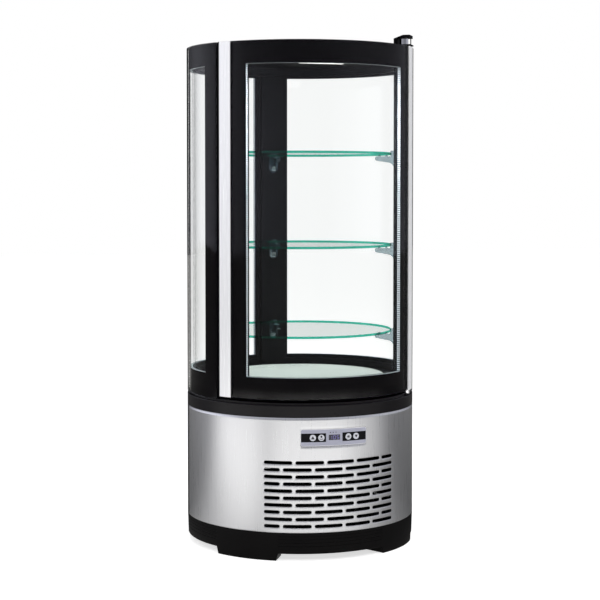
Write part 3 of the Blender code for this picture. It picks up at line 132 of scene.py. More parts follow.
def bearingStops(start, end, step=None):
    # evenly spaced from start to end, no further apart than the step
    count = max(2, math.ceil(abs(end - start) / (step or drum["step"])) + 1)
    return np.linspace(start, end, count)


def within(stops, low, high, play=0.001):
    # those stops that lie from low to high
    return stops[(stops > low - play) & (stops < high + play)]


def aroundDrum(profile, start=0.0, end=360.0, step=None):
    # a closed profile of (radius, height) points carried round the axis, capped unless it closes on itself
    full = abs(end - start) >= 360
    stops = bearingStops(start, end, step)
    if full:
        stops = stops[:-1]
    points = drumPoints(profile[None, :, 0], stops[:, None], profile[None, :, 1]).reshape(-1, 3)
    faces = gridQuads(len(stops), len(profile), full, True)
    return points, faces if full else faces + capFaces(len(profile), len(points))


def turned(profile, segments=96):
    # an open profile revolved: x = r cos t and y = r sin t, with its first and last points on the axis
    profile = np.asarray(profile, float)
    turn = np.linspace(0, 2 * np.pi, segments, endpoint=False)[:, None]
    x, y = profile[None, :, 0] * np.cos(turn), profile[None, :, 0] * np.sin(turn)
    z = np.broadcast_to(profile[None, :, 1], x.shape)
    return np.stack((x, y, z), axis=-1).reshape(-1, 3), gridQuads(segments, len(profile), True, False)


def upward(outline, bottom, top, reach=0.0006):
    # a closed plan outline drawn up: each point moves inward, square to the line from the one before it
    # to the one after it, by a little at the ends to round their edges
    ahead = np.roll(outline, -1, axis=0) - np.roll(outline, 1, axis=0)
    inward = np.stack((-ahead[:, 1], ahead[:, 0]), axis=-1) / np.linalg.norm(ahead, axis=1)[:, None]
    x, y = outline.T
    inward *= np.sign(np.sum(x * np.roll(y, -1) - np.roll(x, -1) * y))
    steps = ((0, reach), (reach / 3, reach / 3), (reach, 0), (2 * reach, 0))
    levels = [(bottom + up, draw) for up, draw in steps] + [(top - up, draw) for up, draw in steps[::-1]]
    points = np.concatenate([atDepth(outline + inward * draw, z) for z, draw in levels])
    count = len(outline)
    return points, gridQuads(len(levels), count, False, True) + capFaces(count, len(points))


def borderPoints(bearings, heights):
    # the points round a rectangle of bearings and heights, each side without its last one
    sides = ((bearings[:-1], heights[0]), (bearings[-1], heights[:-1]),
             (bearings[:0:-1], heights[-1]), (bearings[0], heights[:0:-1]))
    return np.concatenate([np.column_stack(np.broadcast_arrays(*side)) for side in sides])


def framed(rings, across, up=4):
    # a closed section carried round a rectangular opening: each ring has its own rectangle and radius,
    # and between two that lie far apart come more, at (1-t) of the one and t of the next
    points = []
    corners = [np.array([*low, *high, radius]) for low, high, radius in rings]
    for here, ahead in zip(corners, corners[1:] + corners[:1]):
        count = max(1, math.ceil(np.abs(ahead - here)[[0, 2]].max() / drum["step"]))
        for t in np.arange(count) / count:
            b0, z0, b1, z1, radius = here * (1 - t) + ahead * t
            loop = borderPoints(np.linspace(b0, b1, across + 1), np.linspace(z0, z1, up + 1))
            points.append(drumPoints(radius, loop[:, 0], loop[:, 1]))
    return np.concatenate(points), gridQuads(len(points), 2 * (across + up), True, True)


def nearestOnHole(points, centre, half, radius):
    # a hole's edge lies one radius from a core box; a point outside goes to its nearest place there
    offset = points - centre
    core = np.clip(offset, -np.asarray(half), half)
    way = offset - core
    return centre + core + way / np.linalg.norm(way, axis=1)[:, None] * radius


def cutCell(bearings, heights, hole):
    # the sheet between a cell's border and a round-ended hole in it, with the hole's lip rolled in
    flat = np.array([np.radians(1) * drum["radius"], 1.0])
    outer, lip = borderPoints(bearings, heights) * flat, grille["lip"]
    centre, half, radius = hole
    rings = [(outer, 0.0)]
    for grow, sink in ((lip, 0.0), (lip / 3, lip / 4), (0.0, lip)):
        rings.append((nearestOnHole(outer, centre * flat, half, radius + grow), sink))
    points = [drumPoints(drum["radius"] - sink, ring[:, 0] / flat[0], ring[:, 1]) for ring, sink in rings]
    return np.concatenate(points), gridQuads(len(rings), len(outer), False, True)


def sheetCell(bearings, heights):
    # a plain stretch of the drum's wall: a point at each bearing and height
    points = drumPoints(drum["radius"], bearings[None, :], heights[:, None])
    return points.reshape(-1, 3), gridQuads(len(heights), len(bearings))


def cutRow(stops, heights, cells):
    # one row of a sheet: each cell (start, end, hole) is cut, and the stretches between them are plain;
    # where two cells touch, the stretch is a line of points that welds into theirs
    shapes, reached = [], stops[0]
    for start, end, hole in cells:
        shapes.append(sheetCell(within(stops, reached, start), heights))
        shapes.append(cutCell(within(stops, start, end), heights, hole))
        reached = end
    return shapes + [sheetCell(within(stops, reached, stops[-1]), heights)]


def slotHole(bearing, height, span):
    # a slot as long as the span of bearings, with half circles as its ends
    radius = grille["height"] / 2
    return (bearing, height), (np.radians(span) * drum["radius"] / 2 - radius, 0.0), radius


def squareHole(bearing, height, halfWide, halfHigh, corner):
    # a rectangle with rounded corners
    return (bearing, height), (halfWide - corner, halfHigh - corner), corner


def ways(turns):
    # the points (cos t, sin t)
    return np.column_stack((np.cos(turns), np.sin(turns)))


def planArcs(*arcs):
    # arcs round the axis one after the other, seen from above: each a radius, a start, an end and a step
    return np.concatenate([drumPoints(arc[0], bearingStops(*arc[1:]), 0.0)[:, :2] for arc in arcs])


def ringOutline(radius, count=20, centre=(0, 0), squash=1.0):
    # x = r cos t and y = squash r sin t, about the centre
    return ways(np.linspace(0, 2 * np.pi, count, endpoint=False)) * (radius, radius * squash) + centre


def toFacing(points, bearing, height):
    # points drawn as (across, up, out) turned by the bearing about the axis and raised by the height
    turn = math.radians(bearing)
    x = points[:, 0] * math.cos(turn) + points[:, 2] * math.sin(turn)
    y = points[:, 0] * math.sin(turn) - points[:, 2] * math.cos(turn)
    return np.column_stack((x, y, points[:, 1] + height))


def onCylinder(points, bearing, height):
    # points drawn as (across, up, radius) wrapped round the drum: the bearing grows by across over the radius
    degrees = bearing + np.degrees(points[:, 0] / drum["radius"])
    return drumPoints(points[:, 2], degrees, points[:, 1] + height)


def raised(outline, low, high):
    # a closed outline in (across, up) as a thin plate between two depths
    points = np.concatenate((atDepth(outline, low), atDepth(outline, high)))
    return points, gridQuads(2, len(outline), False, True) + capFaces(len(outline), len(points))


def edited(mesh, *steps):
    bm = bmesh.new()
    bm.from_mesh(mesh)
    for step in steps:
        step(bm)
    bm.to_mesh(mesh)
    bm.free()
    return mesh


def weld(bm):
    bmesh.ops.remove_doubles(bm, verts=bm.verts, dist=drum["weld"])


def faceOut(bm):
    bmesh.ops.recalc_face_normals(bm, faces=bm.faces)


def mergeFlat(bm):
    bmesh.ops.dissolve_limit(bm, angle_limit=math.radians(0.5), verts=bm.verts, edges=bm.edges)


def faceFromAxis(bm):
    # a face looks inward where its normal and its middle point in opposite ways, seen from above
    inward = [f for f in bm.faces if f.normal.xy.dot(f.calc_center_median().xy) < 0]
    bmesh.ops.reverse_faces(bm, faces=inward)


def meshFrom(name, shapes):
    points, faces, first = [], [], 0
    for shapePoints, shapeFaces in shapes:
        points.append(shapePoints)
        faces += [[first + index for index in face] for face in shapeFaces]
        first += len(shapePoints)
    mesh = bpy.data.meshes.new(name)
    mesh.from_pydata(np.concatenate(points).tolist(), [], faces)
    return edited(mesh, weld, faceOut)


def linked(name, data):
    thing = bpy.data.objects.new(name, data)
    bpy.context.scene.collection.objects.link(thing)
    return thing


def smooth(mesh, angle=drum["sharp"]):
    mesh.shade_smooth()
    mesh.set_sharp_from_angle(angle=math.radians(angle))


def dress(piece, body, slot, node, angle):
    smooth(piece.data, angle)
    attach(piece, body)
    if node:
        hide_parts(node)
    return piece


def makePiece(name, shapes, finish, slot, node=None, body="cabinet", angle=drum["sharp"]):
    piece = linked(name, meshFrom(name, shapes))
    piece.data.materials.append(finishes[finish])
    return dress(piece, body, slot, node, angle)


def camel(node):
    first, *rest = node.split("_")
    return first + "".join(word.title() for word in rest)


def standIn(node, shapes, finish, slot, body="cabinet", angle=drum["sharp"]):
    # a piece named after the one CAD node that it stands for
    return makePiece(camel(node), shapes, finish, slot, node, body, angle)


def refinedNode(node, finish, slot, edge=0.0, angle=drum["sharp"]):
    # a welded copy of a CAD node with smooth round walls and eased edges
    source = frame["nodes"][node]
    mesh = edited(source.data.copy(), weld, mergeFlat)
    mesh.name = camel(node)
    mesh.materials.clear()
    mesh.materials.append(finishes[finish])
    piece = linked(camel(node), mesh)
    if edge:
        bevel = piece.modifiers.new("easedEdges", "BEVEL")
        bevel.width = edge
        bevel.segments = 2
        bevel.limit_method = "ANGLE"
        bevel.angle_limit = math.radians(angle)
        bevel.harden_normals = True
    return dress(piece, source["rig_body"], slot, node, angle)


def operator(operation, swapped=False):
    # a method that adds a Math node, with the other value first where swapped
    def method(wire, other):
        return wire.shades.maths(operation, *((other, wire) if swapped else (wire, other)))
    return method


class Wire:
    # a shader number: sums and products on it add Math nodes
    def __init__(self, shades, socket):
        self.shades, self.socket = shades, socket

    __add__, __radd__ = operator("ADD"), operator("ADD", True)
    __sub__, __rsub__ = operator("SUBTRACT"), operator("SUBTRACT", True)
    __mul__, __rmul__ = operator("MULTIPLY"), operator("MULTIPLY", True)
    __pow__, __lt__ = operator("POWER"), operator("LESS_THAN")


class Shades:
    # one material or world, and the only way in which nodes are added to it
    def __init__(self, owner):
        owner.use_nodes = True
        self.owner, self.tree = owner, owner.node_tree
        self.tree.nodes.clear()

    def add(self, kind, sockets=None, settings=None, out=0):
        node = self.tree.nodes.new("ShaderNode" + kind)
        for key, value in (settings or {}).items():
            setattr(node, key, value)
        for key, value in (sockets or {}).items():
            if isinstance(value, Wire):
                self.tree.links.new(value.socket, node.inputs[key])
            else:
                node.inputs[key].default_value = value
        return Wire(self, node.outputs[out]) if len(node.outputs) else node

    def maths(self, operation, *values):
        return self.add("Math", dict(enumerate(values)), {"operation": operation})

    def part(self, wire, name):
        return Wire(self, wire.socket.node.outputs[name])

    def place(self):
        return self.part(self.add("TexCoord"), "Object")

    def axes(self, vector):
        split = self.add("SeparateXYZ", {0: vector})
        return [self.part(split, axis) for axis in "XYZ"]

    def noise(self, scale, detail=3.0, stretch=(1, 1, 1)):
        spot = self.add("Mapping", {"Vector": self.place(), "Scale": stretch})
        return self.add("TexNoise", {"Vector": spot, "Scale": scale, "Detail": detail})

    def blendColour(self, share, first, second):
        return self.add("Mix", {0: share, 6: first, 7: second}, {"data_type": "RGBA"}, 2)

    def blendNumber(self, share, first, second):
        return self.add("Mix", {0: share, 2: first, 3: second}, {"data_type": "FLOAT"})

    def rise(self, value, start, end, low, high):
        # low up to the start and high from the end on, and between them t^2 (3 - 2t) of the way
        sockets = {0: value, 1: start, 2: end, 3: low, 4: high}
        return self.add("MapRange", sockets, {"interpolation_type": "SMOOTHSTEP"})

    def bump(self, height, strength, distance):
        sockets = {"Height": height, "Strength": strength, "Distance": distance}
        return self.add("Bump", sockets)

    def principled(self, sockets):
        return self.add("BsdfPrincipled", sockets)

    def emission(self, colour, strength):
        return self.add("Emission", {"Color": colour, "Strength": strength})

    def finish(self, surface):
        kind = "Material" if isinstance(self.owner, bpy.types.Material) else "World"
        self.add("Output" + kind, {"Surface": surface})
        return self.owner


def newShades(name):
    return Shades(bpy.data.materials.new(name))


def rgb(*screen):
    # a colour written as screen values from 0 to 255: v / 12.92, or ((v + 0.055) / 1.055)^2.4 above 10
    shares = [v / 255 for v in screen]
    return (*[v / 12.92 if v <= 10 / 255 else ((v + 0.055) / 1.055) ** 2.4 for v in shares], 1.0)


# For each kind of surface: the fine and the broad noise, the fine one's share in the colour and in the
# roughness, how far the roughness swings, and the bump's strength and distance.
kinds = {
    "brushed": ((900.0, 4.0, (1, 1, 0.012)), (7.0, 2.0), 0.7, 1, 0.16, (0.06, 0.0002)),
    "drawn": ((1600.0, 3.0, (1, 1, 0.008)), None, 1, 1, 0.12, (0.08, 0.0001)),
    "moulded": ((1400.0, 2.0), (16.0, 3.0), 0, 0, 0.14, (0.25, 0.00015)),
    "rubber": ((900.0, 2.0), (16.0, 3.0), 0, 0, 0.14, (0.25, 0.00015)),
    "painted": ((320.0, 2.0), (9.0, 2.0), 0, 0, 0.08, (0.06, 0.0003)),
    "sheet": ((60.0, 3.0), None, 1, 1, 0.1, (0.05, 0.0001)),
    "metal": ((500.0, 3.0), None, 1, 1, 0.1, (0.05, 0.0001)),
    "printed": ((2600.0, 1.0), (30.0, 2.0), 0.5, 0, 0.06, (0.05, 0.0001)),
}


def surface(name, kind, pale, dark, roughness, metal=0.0, gloss=0.5):
    fineNoise, broadNoise, inColour, inRoughness, swing, bump = kinds[kind]
    s = newShades(name)
    fine = s.noise(*fineNoise)
    broad = s.noise(*broadNoise) if broadNoise else fine
    mixed = {0: broad, 1: fine}.get(inColour) or fine * inColour + broad * (1 - inColour)
    rough = fine if inRoughness else broad
    return s.finish(s.principled({
        "Base Color": s.blendColour(mixed, rgb(*dark), rgb(*pale)),
        "Metallic": metal, "Specular IOR Level": gloss,
        "Roughness": roughness + (rough - 0.5) * swing, "Normal": s.bump(fine, *bump)}))


def clearFinish(name, tint, mirror, cloud, edgeOn, gleam=(255, 255, 255), rim=0.0):
    # clear sheet: seen through unbent, mirroring more where it is seen edge-on,
    # and closed to the eye within a sheet's thickness of its outline
    look = {"power": 5.0, "rimFrom": 0.80, "rimTo": 0.88, "roughness": 0.02, "ripple": 0.02}
    s = newShades(name)
    facing = s.part(s.add("LayerWeight", {"Blend": 0.5}), "Facing")
    share = mirror + (edgeOn - mirror) * facing ** look["power"] + cloud
    if rim:
        share = share + s.rise(facing, look["rimFrom"], look["rimTo"], 0, rim)
    through = s.add("BsdfTransparent", {"Color": (*tint, 1.0)})
    roughness = look["roughness"] + s.noise(5.0, 3.0) * look["ripple"]
    mirrored = s.principled({"Base Color": rgb(*gleam), "Metallic": 1.0, "Roughness": roughness})
    return s.finish(s.add("MixShader", {0: share, 1: through, 2: mirrored}))


def spacerFinish():
    # two columns of small holes, a pitch apart, down the bar's face towards the window: a hole is where
    # the distance to the nearest middle, sqrt(across^2 + along^2), is less than its radius
    look = {
        "pitch": 0.0043, "columns": (0.2303, 0.2336), "hole": 0.0016, "sunk": (0.4, 0.0004),
        "bar": rgb(62, 70, 86), "dot": rgb(240, 247, 252), "metal": 0.15, "roughness": 0.34, "swing": 0.1,
    }
    s = newShades("perforatedBar")
    x, y, z = s.axes(s.place())
    reach = s.maths("SQRT", x * x + y * y)
    step = s.maths("PINGPONG", z, look["pitch"] / 2)
    masks = []
    for column in look["columns"]:
        side = reach - column
        masks.append(s.maths("SQRT", side * side + step * step) < look["hole"])
    mask = s.maths("MAXIMUM", *masks)
    grain = s.noise(900.0, 2.0)
    return s.finish(s.principled({
        "Base Color": s.blendColour(mask, look["bar"], look["dot"]), "Metallic": look["metal"],
        "Roughness": look["roughness"] + (grain - 0.5) * look["swing"],
        "Normal": s.bump(1 - mask, *look["sunk"])}))


def glowFinish(name, colour, strength):
    s = newShades(name)
    glow = s.blendColour(s.noise(900.0, 1.0) * 0.2, rgb(*colour), rgb(255, 255, 255))
    return s.finish(s.principled({
        "Base Color": rgb(*colour), "Emission Color": glow, "Emission Strength": strength, "Roughness": 0.5}))


# Each solid surface: its kind, pale and dark colour, roughness, metal and gloss.
surfaces = {
    "brushedSteel": ("brushed", (232, 232, 234), (216, 217, 221), 0.30, 0.88),
    "anodisedAluminium": ("drawn", (252, 252, 253), (240, 240, 244), 0.26, 0.2),
    "edgeAluminium": ("drawn", (252, 252, 253), (240, 240, 244), 0.26),
    "skirtPlastic": ("moulded", (20, 19, 19), (13, 12, 13), 0.44, 0.0, 0.05),
    "ringPlastic": ("moulded", (26, 24, 26), (17, 16, 18), 0.30, 0.0, 0.2),
    "greyPlastic": ("moulded", (122, 124, 128), (96, 98, 102), 0.5),
    "darkPlastic": ("moulded", (46, 47, 50), (30, 31, 33), 0.5),
    "gasketRubber": ("rubber", (22, 22, 25), (12, 12, 15), 0.55, 0.0, 0.03),
    "postPaint": ("painted", (18, 18, 21), (10, 10, 12), 0.40, 0.0, 0.03),
    "casingPaint": ("painted", (30, 30, 33), (20, 20, 22), 0.34),
    "blackEnamel": ("painted", (16, 16, 17), (9, 9, 10), 0.5, 0.0, 0.1),
    "deckPaint": ("painted", (250, 252, 250), (242, 245, 243), 0.22),
    "glassPrint": ("painted", (12, 10, 13), (7, 6, 8), 0.6, 0.0, 0.0),
    "zincSheet": ("sheet", (168, 172, 176), (130, 134, 140), 0.42, 1.0),
    "finAluminium": ("metal", (176, 180, 184), (120, 124, 130), 0.45, 1.0),
    "chromePlate": ("metal", (246, 246, 248), (226, 227, 230), 0.08, 1.0),
    "panelOverlay": ("printed", (184, 185, 200), (160, 161, 178), 0.34, 0.0, 0.3),
    # the fascia's outer band: a painted highlight, near white where the panel's edge would catch the light
    "paintedRimHighlight": ("printed", (250, 250, 252), (240, 240, 244), 0.3, 0.0, 0.4),
    "panelBar": ("printed", (22, 22, 26), (12, 12, 14), 0.34, 0.0, 0.08),
    "panelInk": ("printed", (40, 41, 50), (30, 31, 40), 0.5),
    "buttonSilver": ("printed", (226, 227, 234), (196, 198, 208), 0.26),
    "displayGlass": ("printed", (22, 20, 52), (14, 12, 34), 0.12),
}
# Each clear one: its tint, what it mirrors face-on, its cloud, what it mirrors edge-on, its gleam and rim.
clears = {
    "drumGlass": ((0.998, 1.0, 0.999), 0.010, 0.0, 0.35, (255, 255, 255), 0.95),
    "innerGlass": ((0.998, 1.0, 0.999), 0.010, 0.0, 0.35),
    "shelfFace": ((0.97, 0.995, 0.985), 0.02, 0.0, 0.2),
    "shelfEdge": ((0.06, 0.56, 0.42), 0.06, 0.10, 0.3, (120, 230, 200)),
    "bracketPlastic": ((0.70, 0.78, 0.80), 0.10, 0.12, 0.4, (190, 207, 214)),
}
finishes = {name: surface(name, *look) for name, look in surfaces.items()}
finishes.update((name, clearFinish(name, *look)) for name, look in clears.items())
finishes["perforatedBar"] = spacerFinish()
finishes["displayDigits"] = glowFinish("displayDigits", (112, 106, 176), 0.5)
finishes["lampCover"] = glowFinish("lampCover", (250, 250, 244), 1.0)
print("materials made:", len(finishes))


def heightsOf(node):
    low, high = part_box(node)
    return low.z, high.z


def makeSkirt():
    skirt = {
        "bottom": 0.0146, "top": 0.0572, "flange": 0.182, "flangeTop": 0.0176, "inner": 0.236,
        "draft": 0.0014, "edge": 0.0008, "step": 0.75, "sharp": 25,
        "grooves": (0.0305, 0.0375, 0.0445, 0.0505), "grooveHalf": 0.0012, "grooveDepth": 0.0009,
        "flatShare": 0.6,                              # how much of a groove's width is its flat ground
        "webPitch": 15.0, "webHalf": 0.35,             # the ribs across the grooves, in degrees
        "footBearings": (45, 135, 225, 315), "footHalf": 17.5, "footInner": 0.1926, "footSunk": 0.0001,
        # down a foot: the height, how much shorter it is at each end, how far it is drawn in
        "footLevels": ((0.0156, 0, 0), (0.0012, 1.1, 0.0002), (0.0003, 1.1, 0.0006), (0, 1.4, 0.0014)),
    }
    bottom, top, inner, edge = skirt["bottom"], skirt["top"], skirt["inner"], skirt["edge"]
    stops = np.arange(0, 360, skirt["step"])
    grooves = np.array(skirt["grooves"])[:, None]
    flat = skirt["flatShare"]
    aside = skirt["grooveHalf"] * np.array([-1, -flat, flat, 1])
    heights = np.unique(np.concatenate(([bottom + edge, top - edge], (grooves + aside).ravel())))
    toFoot = np.min([np.abs((stops - b + 180) % 360 - 180) for b in skirt["footBearings"]], axis=0)
    toWeb = np.abs((stops + skirt["webPitch"] / 2) % skirt["webPitch"] - skirt["webPitch"] / 2)
    grooved = ((toFoot > skirt["footHalf"]) & (toWeb > skirt["webHalf"])).astype(float)
    inGroove = np.max(np.abs(heights - grooves) <= skirt["grooveHalf"] * (flat + 0.01), axis=0)
    # the wall leans in towards the floor: radius - draft (top - z) / (top - bottom)
    wall = drum["radius"] - skirt["draft"] * (top - heights) / (top - bottom)
    outer = wall[None, :] - skirt["grooveDepth"] * grooved[:, None] * inGroove[None, :]
    flange, flangeTop = skirt["flange"], skirt["flangeTop"]
    rest = np.array([(drum["radius"] - edge, top), (inner, top), (inner, flangeTop),
                     (flange, flangeTop), (flange, bottom), (wall[0] - edge, bottom)])
    radius = np.concatenate((outer, np.broadcast_to(rest[:, 0], (len(stops), len(rest)))), axis=1)
    height = np.concatenate((heights, rest[:, 1]))
    points = drumPoints(radius, stops[:, None], height[None, :]).reshape(-1, 3)
    shapes = [(points, gridQuads(len(stops), len(height), True, True))]
    shapes += [footShape(skirt, middle, wall[0] - skirt["footSunk"]) for middle in skirt["footBearings"]]
    standIn("base_skirt", shapes, "skirtPlastic", "black_plastic", angle=skirt["sharp"])


def footShape(skirt, middle, outer):
    # a foot: its ends draw in towards the floor, and its lower edges are rounded
    rows = []
    for height, shorter, draw in skirt["footLevels"]:
        half = skirt["footHalf"] - shorter
        stops = np.linspace(middle - half, middle + half, 25)
        outside = drumPoints(outer - draw, stops, height)
        inside = drumPoints(skirt["footInner"] + draw, stops[::-1], height)
        rows.append(np.concatenate((outside, inside)))
    count = len(rows[0])
    return np.concatenate(rows), gridQuads(len(rows), count, False, True) + capFaces(count, len(rows) * count)


grille = {
    "rows": 10, "pitch": 0.0142, "height": 0.0066, "firstRow": 0.0130,
    "slot": 13.8, "gap": 1.5, "short": 7.8, "half": 34.5, "lip": 0.0004,
    "across": 7, "up": 9,        # points across a stretch between two borders, and up a row
}
panel = {
    "width": 0.1412, "height": 0.0343, "corner": 0.0045, "centre": 0.1907,     # above the skin's lower edge
    "sunk": 0.0003, "edge": 0.0003, "depth": 0.0022, "rim": 0.0010, "narrowing": 0.03,
    "play": 0.0003, "margin": 0.006, "spacing": 0.004, "paintShare": 0.98,
}
skin = {"half": 94.0, "thickness": 0.001, "step": 2.5, "sharp": 40}
skinLow, skinHigh = heightsOf("front_skin")
panelMiddle = skinLow + panel["centre"]


def slotCells(row, height=0.0):
    # a row's cells (start, end, hole): four long slots and one short one, at the left or the right in turn
    spans = [grille["slot"]] * 4 + [grille["short"]]
    if row % 2 == 0:
        spans.reverse()
    edge = -grille["half"] - grille["gap"] / 2
    for span in spans:
        end = edge + span + grille["gap"]
        yield edge, end, slotHole((edge + end) / 2, height, span)
        edge = end


def rolledSheet(node, shapes, finish, slot, thickness):
    piece = standIn(node, shapes, finish, slot, angle=skin["sharp"])
    edited(piece.data, faceFromAxis)
    solid = piece.modifiers.new("sheet", "SOLIDIFY")
    solid.thickness = thickness
    solid.offset = -1


def makeSkin():
    borders = sorted({round(edge, 6) for row in (0, 1) for cell in slotCells(row) for edge in cell[:2]})
    between = [np.linspace(a, b, grille["across"])[:-1] for a, b in zip(borders, borders[1:])]
    fine = np.concatenate(between + [borders[-1:]])
    left = bearingStops(-skin["half"], borders[0], skin["step"])
    right = -left[::-1]
    whole = np.concatenate((left[:-1], fine, right[1:]))
    bandLow = skinLow + grille["firstRow"] - grille["pitch"] / 2
    bandHigh = bandLow + grille["rows"] * grille["pitch"]
    panelLow = panelMiddle - panel["height"] / 2 - panel["margin"]
    panelHigh = panelMiddle + panel["height"] / 2 + panel["margin"]
    levels = ((skinLow, bandLow, 4), (bandHigh, panelLow, 3), (panelHigh, skinHigh, 4))
    shapes = [sheetCell(whole, np.linspace(*level)) for level in levels]
    for row in range(grille["rows"]):
        low = bandLow + row * grille["pitch"]
        heights = np.linspace(low, low + grille["pitch"], grille["up"])
        shapes += cutRow(whole, heights, slotCells(row, low + grille["pitch"] / 2))
    cell = whole[np.abs(whole) < np.degrees((panel["width"] / 2 + panel["margin"]) / drum["radius"])]
    half = np.array([panel["width"], panel["height"]]) / 2 + panel["play"]
    hole = squareHole(0.0, panelMiddle, *half, panel["corner"] + panel["play"])
    heights = np.linspace(panelLow, panelHigh, grille["up"])
    shapes += cutRow(whole, heights, [(cell[0], cell[-1], hole)])
    rolledSheet("front_skin", shapes, "brushedSteel", "brushed_steel", skin["thickness"])


def makeCasing():
    casing = {
        "rows": 6, "firstRow": 2.5, "slotBearing": 17.0, "cellHalf": 8, "slot": 13.7, "thickness": 0.0016,
        "seam": 0.2, "inlet": (0.0153, 0.0123, 0.001), "inletCentre": 0.034, "inletCell": (6, 0.020),
        "step": 1.6,
    }
    start, end = skin["half"] + casing["seam"], 360 - skin["half"] - casing["seam"]
    lows = [skinHigh - grille["pitch"] * (row + casing["firstRow"]) for row in range(casing["rows"])]
    bandLow, bandHigh = lows[-1], lows[0] + grille["pitch"]
    middle = skinLow + casing["inletCentre"]
    aside, above = casing["inletCell"]
    centres, half = (180 - casing["slotBearing"], 180 + casing["slotBearing"]), casing["cellHalf"]
    marks = [start, end, 180 - aside, 180 + aside]
    marks += [b + way for b in centres for way in (-half, half)]
    marks.sort()
    columns = [bearingStops(a, b, casing["step"]) for a, b in zip(marks, marks[1:])]
    stops = np.concatenate([column[:-1] for column in columns] + [[end]])
    levels = ((skinLow, middle - above), (middle + above, bandLow), (bandHigh, skinHigh))
    shapes = [sheetCell(stops, np.linspace(*level, 3)) for level in levels]
    heights = np.linspace(middle - above, middle + above, grille["up"])
    inlet = squareHole(180.0, middle, *casing["inlet"])
    shapes += cutRow(stops, heights, [(180 - aside, 180 + aside, inlet)])
    for low in lows:
        heights, level = np.linspace(low, low + grille["pitch"], grille["up"]), low + grille["pitch"] / 2
        cells = [(b - half, b + half, slotHole(b, level, casing["slot"])) for b in centres]
        shapes += cutRow(stops, heights, cells)
    rolledSheet("rear_casing", shapes, "casingPaint", "black_paint", casing["thickness"])


def makeRing():
    low, high = heightsOf("top_ring")
    ring = {"wall": 0.003, "plate": 0.003, "sill": 0.2316, "sillHeight": 0.0043, "hole": 0.2, "edge": 0.0012}
    outer, sill, hole, top = drum["radius"], ring["sill"], ring["hole"], high - ring["sillHeight"]
    inner, under = outer - ring["wall"], top - ring["plate"]
    profile = softened([(sill, high), (sill, top), (outer, top), (outer, low), (inner, low),
                        (inner, under), (hole, under), (hole, high)], ring["edge"], 4)
    standIn("top_ring", [aroundDrum(profile)], "ringPlastic", "black_plastic")


def fasciaOutline(inset, t=1.0):
    # the panel's rounded outline: the corner's middle + (corner - inset) along its way out, and then
    # drawn towards the panel's middle line: times 1 - narrowing (1 - t) across, and times t up
    half = np.array([panel["width"], panel["height"]]) / 2 - panel["corner"]
    way = ways(np.radians(np.arange(0, 360, 7.5) + 3.75))
    outline = densified(np.sign(way) * half + (panel["corner"] - inset) * way, panel["spacing"])
    return outline * (1 - panel["narrowing"] * (1 - t), t)


def densified(outline, spacing):
    # extra points a + (b - a) i / count along the long straight sides of a closed outline
    result = []
    for a, b in zip(outline, np.roll(outline, -1, axis=0)):
        count = max(1, int(np.ceil(np.linalg.norm(b - a) / spacing)))
        result.append(a + (b - a) * (np.arange(count) / count)[:, None])
    return np.concatenate(result)


def faceCentres(piece):
    centres = np.zeros(len(piece.data.polygons) * 3)
    piece.data.polygons.foreach_get("center", centres)
    return centres.reshape(-1, 3)


def paint(piece, finish, chosen):
    # a second material on the chosen faces
    piece.data.materials.append(finishes[finish])
    piece.data.polygons.foreach_set("material_index", chosen.astype(np.int32))


def makeFascia(radius):
    shares = (0, 0.25, 0.5, 0.75, 1)
    edge, depth = panel["edge"], panel["depth"]
    rings = [atDepth(fasciaOutline(panel["rim"], t), radius) for t in shares]
    rings += [atDepth(fasciaOutline(edge), radius), atDepth(fasciaOutline(0), radius - edge)]
    rings += [atDepth(fasciaOutline(0, t), radius - depth) for t in shares[::-1]]
    points = onCylinder(np.concatenate(rings), 0, panelMiddle)
    shape = points, gridQuads(len(rings), len(rings[0]), False, True)
    fascia = standIn("control_fascia", [shape], "panelOverlay", "silver_panel")
    # the painted highlight along the panel's edge: faces further than the corner less the rim from the box of
    # the corners' middles
    spots, corner = faceCentres(fascia), panel["corner"]
    across = np.abs(np.arctan2(spots[:, 0], -spots[:, 1]) * drum["radius"]) - panel["width"] / 2 + corner
    up = np.abs(spots[:, 2] - panelMiddle) - panel["height"] / 2 + corner
    beyond = np.hypot(np.maximum(across, 0), np.maximum(up, 0))
    # painted highlight: the edge band gets a near-white colour
    paint(fascia, "paintedRimHighlight", beyond > corner - panel["rim"] * panel["paintShare"])


